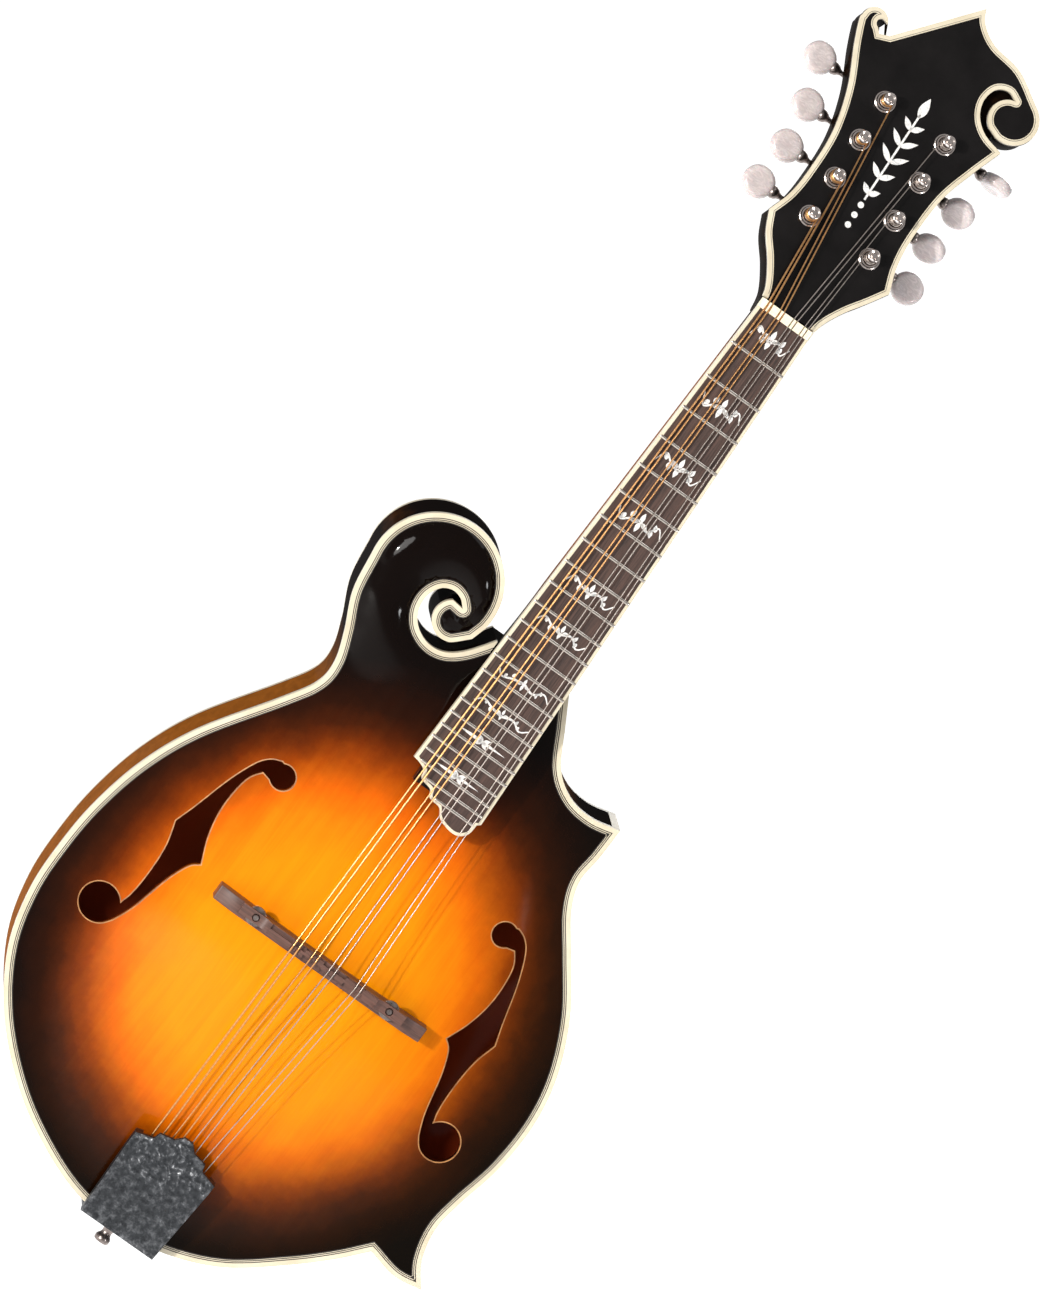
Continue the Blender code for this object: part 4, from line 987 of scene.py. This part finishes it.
def vine_inlay(half_width, half_length, lean):
    """A winding stem with leaves each side of a small flower."""
    w = half_width
    h = half_length
    stem = [(-w, -0.35 * h * lean), (-0.75 * w, 0.5 * h * lean), (-0.4 * w, 0.1 * h * lean),
            (0, -0.15 * h * lean), (0.4 * w, 0.25 * h * lean), (0.72 * w, -0.45 * h * lean),
            (w, 0.25 * h * lean)]
    loops = [ribbon(stem[:4], 0.5, 1.2), ribbon(stem[3:], 1.2, 0.5)]
    for x, angle, size in ((-0.62, 115, 0.55), (-0.45, -70, 0.6), (0.0, 90, 0.8), (0.0, -90, 0.75),
                           (0.05, 20, 0.7), (-0.05, 160, 0.7), (0.5, 70, 0.6), (0.66, -110, 0.55)):
        loops.append(leaf((x * w, 0.05 * h), angle * lean, size * h, 0.34 * h))
    return loops


def build_inlays():
    for number, lean in ((1, 1), (3, -1), (5, 1), (7, -1), (10, 1), (12, 1), (15, -1), (17, 1)):
        space = fret_z(number - 1) - fret_z(number)
        z = (fret_z(number - 1) + fret_z(number)) / 2
        loops = vine_inlay(board_half(z) * 0.78, min(6.5, space * 0.46), lean)
        loops = [[(x, dz + z) for x, dz in loop] for loop in loops]
        inlay(loops, f"vine_inlay_{number}", BOARD_FRONT, BOARD)
    for number, half in ((19, 0.66), (22, 0.6)):
        z = (fret_z(number - 1) + fret_z(number)) / 2
        w = board_half(z) * half
        loops = [[(x, z + s) for x, s in leaf((-w, 0), 0, 2 * w, 1.6)]]
        loops += [leaf((0, z), angle, 4.0, 1.8) for angle in (35, 145, -35, -145)]
        inlay(loops, f"bar_inlay_{number}", BOARD_FRONT, BOARD)


def build_head_ornament():
    """Three dots under a straight stem with pairs of plain leaves."""
    loops = [arc((0.0, s), 1.5, 0, 342, 20) for s in (50.0, 55.5, 61.0)]
    loops.append(ribbon([(0, 64), (0, 78), (0, 92), (0, 112)], 1.0, 1.0))
    for s, length in ((67, 6.0), (76, 8.0), (85, 9.5), (94, 9.0), (103, 7.0)):
        loops += [leaf((0.0, s), angle, length, 2.8) for angle in (40, 140)]
    loops.append(leaf((0.0, 110.0), 90, 11.0, 4.4))
    inlay(loops, "head_ornament", 0.0, HEAD)


# ---------------------------------------------------------------- headstock and tuners

def build_head():
    overlay = prism([inset(HEAD_OUTLINE, HEAD_BINDING)], 0, OVERLAY_THICKNESS)
    nut_room = ((-20, -5, -9), (20, 10, 0.0))
    facing = boolean(overlay, [box(*nut_room), *post_bores(-5, 10, 0.4)])
    put(facing, "head_facing", HEAD, BLACK, replaces=["headstock_overlay"])
    band = prism([HEAD_OUTLINE, inset(HEAD_OUTLINE, HEAD_BINDING)], -0.02, OVERLAY_THICKNESS)
    put(boolean(band, [box(*nut_room)]), "head_edge_band", HEAD, IVOROID, replaces=["headstock_binding"])
    line = [(x, 0.03, z) for x, z in inset(HEAD_OUTLINE, 2.0) if z > 1]
    put(tube(line, 0.14, 6), "head_edge_line", HEAD, SIDE_LINE)
    rear_line = [(x, OVERLAY_THICKNESS, z) for x, z in HEAD_OUTLINE if z > 1]
    put(tube(rear_line, 0.25, 6), "head_side_line", HEAD, SIDE_LINE)


def screw_head(x, y, z, radius, turn):
    """A domed screw head with one slot, its flat side at Y=y, facing the back."""
    head = turned([(0, 0), (radius, 0), (radius * 0.92, 0.35 * radius), (radius * 0.6, 0.62 * radius),
                   (0, 0.72 * radius)], (0, 0, 0), (0, 1, 0), 20)
    slot = box((-radius * 1.2, 0.36 * radius, -0.16 * radius), (radius * 1.2, radius, 0.16 * radius))
    head = boolean(head, [slot])
    head.data.transform(Matrix.Translation((x, y, z)) @ Matrix.Rotation(math.radians(turn), 4, "Y"))
    return head


def build_tuner_plate(name, node, side):
    back = HEAD_THICKNESS + 0.05
    low = FIRST_POST - 8
    high = FIRST_POST + 3 * POST_SPACING + 12
    middle = side * POST_X
    loop = arc((middle, high - 6.8), 6.8, 0, 180, 18) + arc((middle, low + 6.8), 6.8, 180, 360, 18)
    strip = prism([loop], back, back + 1.1, 0.25)
    shapes = []
    screws = []
    for number in range(4):
        x, z = post_place(side, number)
        worm_z = z + WORM_OFFSET
        for shift in (-5.4, 5.4):
            lug_x = x + shift
            lug = box((lug_x - 0.9, back + 0.6, worm_z - 2.3), (lug_x + 0.9, WORM_DEPTH + 2.3, worm_z + 2.3),
                      0.35)
            hole = rod((lug_x - 2, WORM_DEPTH, worm_z), (lug_x + 2, WORM_DEPTH, worm_z), SHAFT_RADIUS + 0.15)
            shapes.append(boolean(lug, [hole]))
        screws.append(screw_head(x, back + 1.05, z - 5.9 if number else low + 2.6, 1.7, 25 + 40 * number))
    screws.append(screw_head(middle, back + 1.05, high - 2.6, 1.7, 60))
    strip = boolean(strip, post_bores(back - 3, back + 4, 0.3, [side]))
    put(joined([strip, *shapes]), name, HEAD, NICKEL, replaces=[node])
    put(joined(screws), name + "_screws", HEAD, DARK_NICKEL)


def gear_wheel():
    loop = []
    for tooth in range(GEAR_TEETH):
        for share, radius in ((-0.36, 3.25), (-0.2, 4.1), (0.2, 4.1), (0.36, 3.25)):
            angle = 2 * math.pi * (tooth + share) / GEAR_TEETH + math.pi / 2
            loop.append((radius * math.cos(angle), radius * math.sin(angle)))
    return prism([loop], -1.5, 1.1, 0.12)


def build_post(number, side, place):
    """A post with its gear and screw behind the head, the bushing round it and the string wound on it."""
    x, z = post_place(side, place)
    gear = WORM_DEPTH
    profile = [(0, POST_TOP), (1.2, POST_TOP), (1.5, POST_TOP + 0.4), (POST_RADIUS - 0.5, POST_TOP),
               (POST_RADIUS - 0.1, POST_TOP + 0.2), (POST_RADIUS, POST_TOP + 0.7), (POST_RADIUS, -7.6),
               (POST_RADIUS - 0.5, -6.8), (POST_RADIUS - 0.7, -5.2), (POST_RADIUS - 0.6, -3.6),
               (POST_RADIUS, -2.8), (POST_RADIUS, gear - 1.4), (0, gear - 1.4)]
    post = turned(profile, (x, 0, z), (0, 1, 0), 32)
    eye = rod((x - 5, -6.4, z), (x + 5, -6.4, z), 0.75, 12)
    post = boolean(post, [eye])
    wheel = gear_wheel()
    wheel.data.transform(Matrix.Translation((x, gear, z)))
    head = screw_head(x, gear + 1.05, z, 2.0, 30 * number)
    body = f"post_{number}"
    put(joined([post, wheel, head]), f"string_post_{number}", HEAD, NICKEL, body,
        [f"tuner_post_{number}"])
    radius = STRING_RADII[number - 1]
    wound_radius = POST_RADIUS - 0.55 + radius
    turns = 4
    steps = 20
    coil = []
    for i in range(turns * steps + 1):
        angle = 2 * math.pi * i / steps
        depth = -3.6 - 2.05 * radius * i / steps
        coil.append((x + wound_radius * math.cos(angle), depth, z + wound_radius * math.sin(angle)))
    wire = BRONZE if number < 5 else PLAIN_WIRE
    put(tube(coil, radius, 8), f"string_winding_{number}", HEAD, wire, body, sharp=80)
    collar = ((0.25, 2.2), (0.25, -1.9), (0.6, -2.2), (1.1, -2.1), (1.4, -1.5), (1.5, -1.0), (2.0, -0.75),
              (2.1, -0.3), (2.1, 0.0), (0.7, 0.0), (0.7, 2.2), (0.25, 2.2))
    bushing = turned([(POST_RADIUS + wide, along) for wide, along in collar], (x, 0, z), (0, 1, 0), 40)
    put(bushing, f"post_bushing_{number}", HEAD, NICKEL)


def worm(x, z):
    """The threaded length of a worm shaft, its ridge winding round as one wave."""
    rows = 54
    sides = 24
    length = WORM_PITCH * 3
    wall = [(1, length * (i / rows - 0.5)) for i in range(rows + 1)]
    profile = [(0, -length / 2), *wall, (0, length / 2)]
    obj = turned(profile, (0, 0, 0), (0, 0, 1), sides)
    for vertex in obj.data.vertices:
        if math.hypot(vertex.co.x, vertex.co.y) < 0.5:
            continue
        turn = math.atan2(vertex.co.y, vertex.co.x)
        wave = -math.cos(2 * math.pi * vertex.co.z / WORM_PITCH - turn)
        radius = WORM_RADIUS - WORM_THREAD / 2 + WORM_THREAD / 2 * wave
        vertex.co.x = radius * math.cos(turn)
        vertex.co.y = radius * math.sin(turn)
    obj.data.transform(Matrix.Translation((x, WORM_DEPTH, z)) @ Matrix.Rotation(math.pi / 2, 4, "Y"))
    return obj


def build_button(number, side, place):
    x, z = post_place(side, place)
    z += WORM_OFFSET
    reach = side * BUTTON_REACH[place]
    turn = math.radians((BASS_BUTTON_TURN if side < 0 else TREBLE_BUTTON_TURN)[place])
    body = f"button_{number}"
    half = BUTTON_THICKNESS / 2
    profile = [(0, -half + 0.35), (3.6, -half + 0.2), (5.6, -half), (6.7, -half + 0.35), (7.4, -half + 1.1),
               (BUTTON_DISC_RADIUS, -half + 2.1), (BUTTON_DISC_RADIUS, half - 2.1), (7.4, half - 1.1),
               (6.7, half - 0.35), (5.6, half), (3.6, half - 0.2), (0, half - 0.35)]
    disc = turned(profile, (0, 0, 0), (0, 1, 0), 48)
    disc.data.transform(Matrix.Translation((reach, WORM_DEPTH, z)) @ Matrix.Rotation(turn, 4, "X"))
    collar = turned([(0, 0), (2.3, 0), (2.9, 0.6), (3.1, 2.0), (2.6, 3.6), (1.7, 4.6), (1.45, 5.4), (0, 5.4)],
                    (reach - 6.3 * side, WORM_DEPTH, z), (-side, 0, 0), 24)
    put(disc, f"pearl_button_{number}", HEAD, BUTTON, body, [f"tuner_button_{number}"], sharp=60)
    shaft = rod((x - 8.0 * side, WORM_DEPTH, z), (reach - 4.0 * side, WORM_DEPTH, z), SHAFT_RADIUS)
    put(joined([shaft, worm(x, z), collar]), f"worm_shaft_{number}", HEAD, DARK_NICKEL, body, sharp=60)


# ---------------------------------------------------------------- bridge, tailpiece and strings

def build_bridge():
    half = BRIDGE_HALF_LENGTH
    z_low = BRIDGE_Z - BRIDGE_DEPTH / 2
    z_high = BRIDGE_Z + BRIDGE_DEPTH / 2
    base = sliced(box((-half, 0, z_low), (half, 1, z_high)), np.arange(-56, 57, 2.0))
    x, y, z = plan_of(base)
    foot = top_heights(x, z) + 0.05
    front = BRIDGE_TOP + BRIDGE_END_DROP * (1 - step_between(-1, 12, half - np.abs(x)))
    set_heights(base, np.where(y > 0.5, foot, front))
    base.modifiers.new("Bevel", "BEVEL").width = 0.5
    base.modifiers["Bevel"].segments = 3
    put(evaluated(base), "bridge_foot", BODY, BRIDGE_WOOD, replaces=["bridge_base"])


def build_bridge_post(side, word):
    """A threaded post with its knurled wheel."""
    x = side * BRIDGE_POST_X
    start = BRIDGE_TOP + 0.3
    thread = [(0, start)]
    for i in range(10):
        along = start - THREAD_PITCH * i
        thread += [(1.35, along), (1.6, along - THREAD_PITCH / 2)]
    thread += [(1.2, SADDLE_SHOULDER - 0.6), (0, SADDLE_SHOULDER - 0.6)]
    put(turned(thread, (x, 0, SADDLE_Z), (0, 1, 0), 24), f"threaded_post_{word}", BODY, DARK_NICKEL,
        replaces=[f"bridge_post_{word}"])
    knurl = []
    for tooth in range(KNURL_COUNT):
        for share, radius in ((-0.25, 4.5), (0.25, 4.8)):
            angle = 2 * math.pi * (tooth + share) / KNURL_COUNT
            knurl.append((x + radius * math.cos(angle), SADDLE_Z + radius * math.sin(angle)))
    wheel = prism([knurl, arc((x, SADDLE_Z), 1.75, 0, 345, 24)], WHEEL_FRONT, WHEEL_BACK, 0.15)
    put(wheel, f"knurled_wheel_{word}", BODY, DARK_NICKEL, f"wheel_{word}", [f"thumbwheel_{word}"])


def build_saddle():
    end = SADDLE_SHOULDER + 0.4
    length = SADDLE_HALF_LENGTH
    crest = [(-29.5, SADDLE_CROWN)]
    for string, (_, saddle_x, _, _, _) in enumerate(STRINGS):
        radius = STRING_RADII[string] + 0.05
        bottom = -STRING_HEIGHT + 1.0 + radius * 0.6
        crest += [(saddle_x - radius * 1.6, SADDLE_CROWN), (saddle_x - radius, bottom),
                  (saddle_x + radius, bottom), (saddle_x + radius * 1.6, SADDLE_CROWN)]
    crest.append((29.5, SADDLE_CROWN))
    profile = [(-length, SADDLE_BACK), (-length, end), (-33.5, SADDLE_SHOULDER),
               (-31.5, SADDLE_SHOULDER - 0.8), *crest, (31.5, SADDLE_SHOULDER - 0.8),
               (33.5, SADDLE_SHOULDER), (length, end), (length, SADDLE_BACK)]
    saddle = prism([profile], -SADDLE_Z - 2.6, -SADDLE_Z + 2.6)
    saddle.data.transform(Matrix.Rotation(-math.pi / 2, 4, "X"))
    cutters = []
    for low, high, shift in ((-29.4, -10.3, -0.9), (-10.3, -0.3, 0.5), (-0.3, 11.8, -0.5), (11.8, 29.4, 0.8)):
        middle = SADDLE_Z + shift
        cutters.append(box((low, SADDLE_CROWN - 3, middle + 1.3), (high, SADDLE_CROWN + 1.5, SADDLE_Z + 6)))
        cutters.append(box((low, SADDLE_CROWN - 3, SADDLE_Z - 6), (high, SADDLE_CROWN + 1.5, middle - 1.3)))
    for side in (-1, 1):
        x = side * BRIDGE_POST_X
        cutters.append(rod((x, SADDLE_BACK + 3, SADDLE_Z), (x, SADDLE_SHOULDER - 3, SADDLE_Z), 1.85))
    saddle = boolean(saddle, cutters)
    put(saddle, "stepped_saddle", BODY, BRIDGE_WOOD, "saddle", ["bridge_saddle"])


def cover_front():
    half = TAIL_HALF_WIDTH
    return [(half + 2, COVER_LENGTH - 5), (half + 2, COVER_LENGTH), (13.5, COVER_LENGTH + 2.5),
            (12.5, COVER_LENGTH + 6), (5.5, COVER_LENGTH + 7.5), (2.2, COVER_LENGTH + 11.0),
            (-2.2, COVER_LENGTH + 11.0), (-5.5, COVER_LENGTH + 7.5), (-12.5, COVER_LENGTH + 6),
            (-13.5, COVER_LENGTH + 2.5), (-half - 2, COVER_LENGTH), (-half - 2, COVER_LENGTH - 5)]


def cast_relief(x, z):
    """Curling raised leafwork, finer and flatter toward the tail."""
    p = Vector((x * 0.13, z * 0.13, 0))
    curl = noise.noise(p + Vector((3.1, 7.7, 0))) * 7 + noise.noise(p * 2.3) * 2.6
    leafwork = max(0.0, math.sin(curl * 2.4))
    grain = 0.5 + 0.5 * noise.noise(Vector((x * 1.3, z * 1.3, 4)))
    front = min(1.0, max(0.0, (z - 22) / 14))
    return 0.5 * leafwork * front + (0.42 - 0.18 * front) * grain


def build_tailpiece():
    half = TAIL_HALF_WIDTH
    wall = 1.4
    outline = [(-half, 0.0), *reversed(cover_front()), (half, 0.0)]
    cover = prism([outline], -6.5, -1.0, 0.35)
    room = prism([[(-half + wall, wall), (-half + wall, COVER_LENGTH + 20), (half - wall, COVER_LENGTH + 20),
                   (half - wall, wall)]], -6.5 + wall, 5.0)
    cover = sliced(boolean(cover, [room]), np.arange(-22, 22.5, 0.75), np.arange(0, 58, 0.75))
    edge = distance_to([(v.co.x, v.co.z) for v in cover.data.vertices], outline)
    reliefs = []
    for vertex, distance in zip(cover.data.vertices, edge):
        relief = 0.0
        if vertex.co.y < -6.4:
            border = 1 - min(1.0, max(0.0, (distance - 1.6) / 0.6))
            relief = max(cast_relief(vertex.co.x, vertex.co.z) * min(1.0, distance), 0.35 * border)
            vertex.co.y -= relief
        reliefs.append(relief / 0.6)
    write_attribute(cover, "relief", reliefs)
    put(cover, "cast_cover", TAIL, CASTING, "tail_cover", ["tailpiece_cover"], sharp=60)


def build_end_pin():
    profile = [(0, 0), (3.0, 0), (3.4, 0.2), (3.7, 0.7), (3.8, 1.5), (3.7, 2.6), (3.2, 3.4), (2.6, 4.2),
               (2.4, 5.4), (2.6, 6.6), (3.6, 7.4), (3.6, 8.6), (3.3, 26.0), (0, 26.0)]
    pin = turned(profile, (0, SIDE_DEPTH / 2, END_PIN_FACE_Z), (0, 0, 1), 40)
    put(pin, "turned_end_pin", BODY, DARK_NICKEL, replaces=["end_pin"], sharp=60)


def string_places():
    """For each string, bass to treble: its X at tail, saddle and nut, its side and its post."""
    places = []
    for number in range(8):
        course = number // 2
        shift = number % 2 - 0.5
        side = -1 if number < 4 else 1
        post = number if number < 4 else 7 - number
        places.append((TAIL_SPACING * (number - 3.5), SADDLE_COURSES[course] + SADDLE_PAIR * shift,
                       NUT_COURSES[course] + NUT_PAIR * shift, side, post))
    return places


def build_strings():
    for number, (tail_x, saddle_x, nut_x, side, post) in enumerate(STRINGS):
        x, z = post_place(side, post)
        radius = STRING_RADII[number]
        start = TAIL_PLACE @ Vector((tail_x, -2.6, 36.5))
        saddle = Vector((saddle_x, -STRING_HEIGHT, SADDLE_Z))
        nut = BOARD_PLACE @ Vector((nut_x, 0, NUT_LENGTH / 2))
        end = HEAD_PLACE @ Vector((x - side * (POST_RADIUS - 0.5 + radius), -4.5, z))
        wire = BRONZE if number < 4 else PLAIN_WIRE
        tail_part = tube([start, saddle], radius, 12)
        put(tail_part, f"string_{number + 1}_tail_length", BODY, wire, None, sharp=60)
        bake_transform(tail_part)
        speaking = tube([saddle, nut, end], radius, 12)
        put(speaking, f"string_{number + 1}_speaking_length", BODY, wire, None, [f"string_{number + 1}"],
            sharp=60)
        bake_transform(speaking)


STRINGS = string_places()
HEAD_OUTLINE = head_outline()

build_top()
build_back()
build_sides()
build_neck()
build_board()
build_frets()
build_nut()
build_inlays()
build_head_ornament()
build_head()
for side_number, side_word in ((-1, "bass"), (1, "treble")):
    build_tuner_plate(f"bearing_plate_{side_word}", f"tuner_plate_{side_word}", side_number)
    for post_number in range(4):
        string_number = post_number + 1 if side_number < 0 else 8 - post_number
        build_post(string_number, side_number, post_number)
        build_button(string_number, side_number, post_number)
build_bridge()
for side_number, side_word in ((-1, "bass"), (1, "treble")):
    build_bridge_post(side_number, side_word)
build_saddle()
build_tailpiece()
build_end_pin()
build_strings()

KEPT_NODES = {"tail_block": INSIDE, "upper_point_block": INSIDE, "lower_point_block": INSIDE,
              "top_lining": INSIDE, "back_lining": INSIDE, "bass_tone_bar": INSIDE,
              "treble_tone_bar": INSIDE, "truss_rod": DARK_NICKEL, "extension_support": BLACK,
              "tailpiece_base": CASTING}
for node_name, node_material in KEPT_NODES.items():
    node_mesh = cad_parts[node_name].data
    node_mesh.materials.clear()
    node_mesh.materials.append(node_material)


# ---------------------------------------------------------------- studio

def area_light(name, place, target, size, energy, colour=(1, 1, 1)):
    data = bpy.data.lights.new(name, "AREA")
    data.shape = "DISK"
    data.size = size
    data.energy = energy
    data.color = colour
    light = linked(name, data)
    light.location = place
    light.rotation_euler = (Vector(target) - Vector(place)).to_track_quat("-Z", "Y").to_euler()


FLOOR_HALF = 60.0
FLOOR_Z = -0.6
corners = [(x * FLOOR_HALF, y * FLOOR_HALF, FLOOR_Z) for x, y in ((-1, -1), (1, -1), (1, 1), (-1, 1))]
floor_mesh = bpy.data.meshes.new("floor")
floor_mesh.from_pydata(corners, [], [(0, 1, 2, 3)])
floor = linked("floor", floor_mesh)
pale = Material("pale_floor", Roughness=0.9)
pale.shader.inputs["Base Color"].default_value = (0.9, 0.9, 0.9, 1)
pale.shader.inputs["Emission Color"].default_value = (1, 1, 1, 1)
depth = pale.add("ShaderNodeSeparateXYZ", {"Vector": pale.place()}).outputs["Y"]
glow_range = {"Value": depth, "From Min": -2.5, "From Max": 1.0, "To Min": 0.05, "To Max": 0.8}
glow = pale.add("ShaderNodeMapRange", glow_range, interpolation_type="SMOOTHSTEP")
pale.link(glow.outputs["Result"], "Emission Strength")
floor_mesh.materials.append(pale.material)

centre = Vector((0, 0, 0.34))
area_light("key", (-2.1, -2.75, 0.35), centre, 0.12, 80, (1.0, 0.97, 0.92))
area_light("soft_key", (-1.9, -2.9, 0.5), centre, 1.2, 42, (1.0, 0.98, 0.95))
area_light("right_fill", (2.2, -2.4, 0.9), centre, 0.5, 22, (0.97, 0.98, 1.0))
area_light("top_fill", (0.6, -0.9, 3.4), centre, 1.6, 14, (0.96, 0.98, 1.0))
area_light("back_fill", (0.8, 3.2, 1.9), centre, 2.0, 40)

world = bpy.data.worlds.new("studio")
bpy.context.scene.world = world
world.use_nodes = True
world.node_tree.nodes["Background"].inputs["Color"].default_value = (1, 1, 1, 1)
world.node_tree.nodes["Background"].inputs["Strength"].default_value = 0.34

camera_data = bpy.data.cameras.new("camera")
camera_data.lens = 328.66
camera_data.sensor_width = 36.0
camera_data.clip_end = 200.0
camera = linked("camera", camera_data)
camera.location = (-0.72726, -5.27232, 0.92529)
camera.rotation_euler = tuple(math.radians(angle) for angle in (82.13837, -36.1257, -3.15511))
bpy.context.scene.camera = camera
bpy.context.scene.view_settings.view_transform = "Standard"
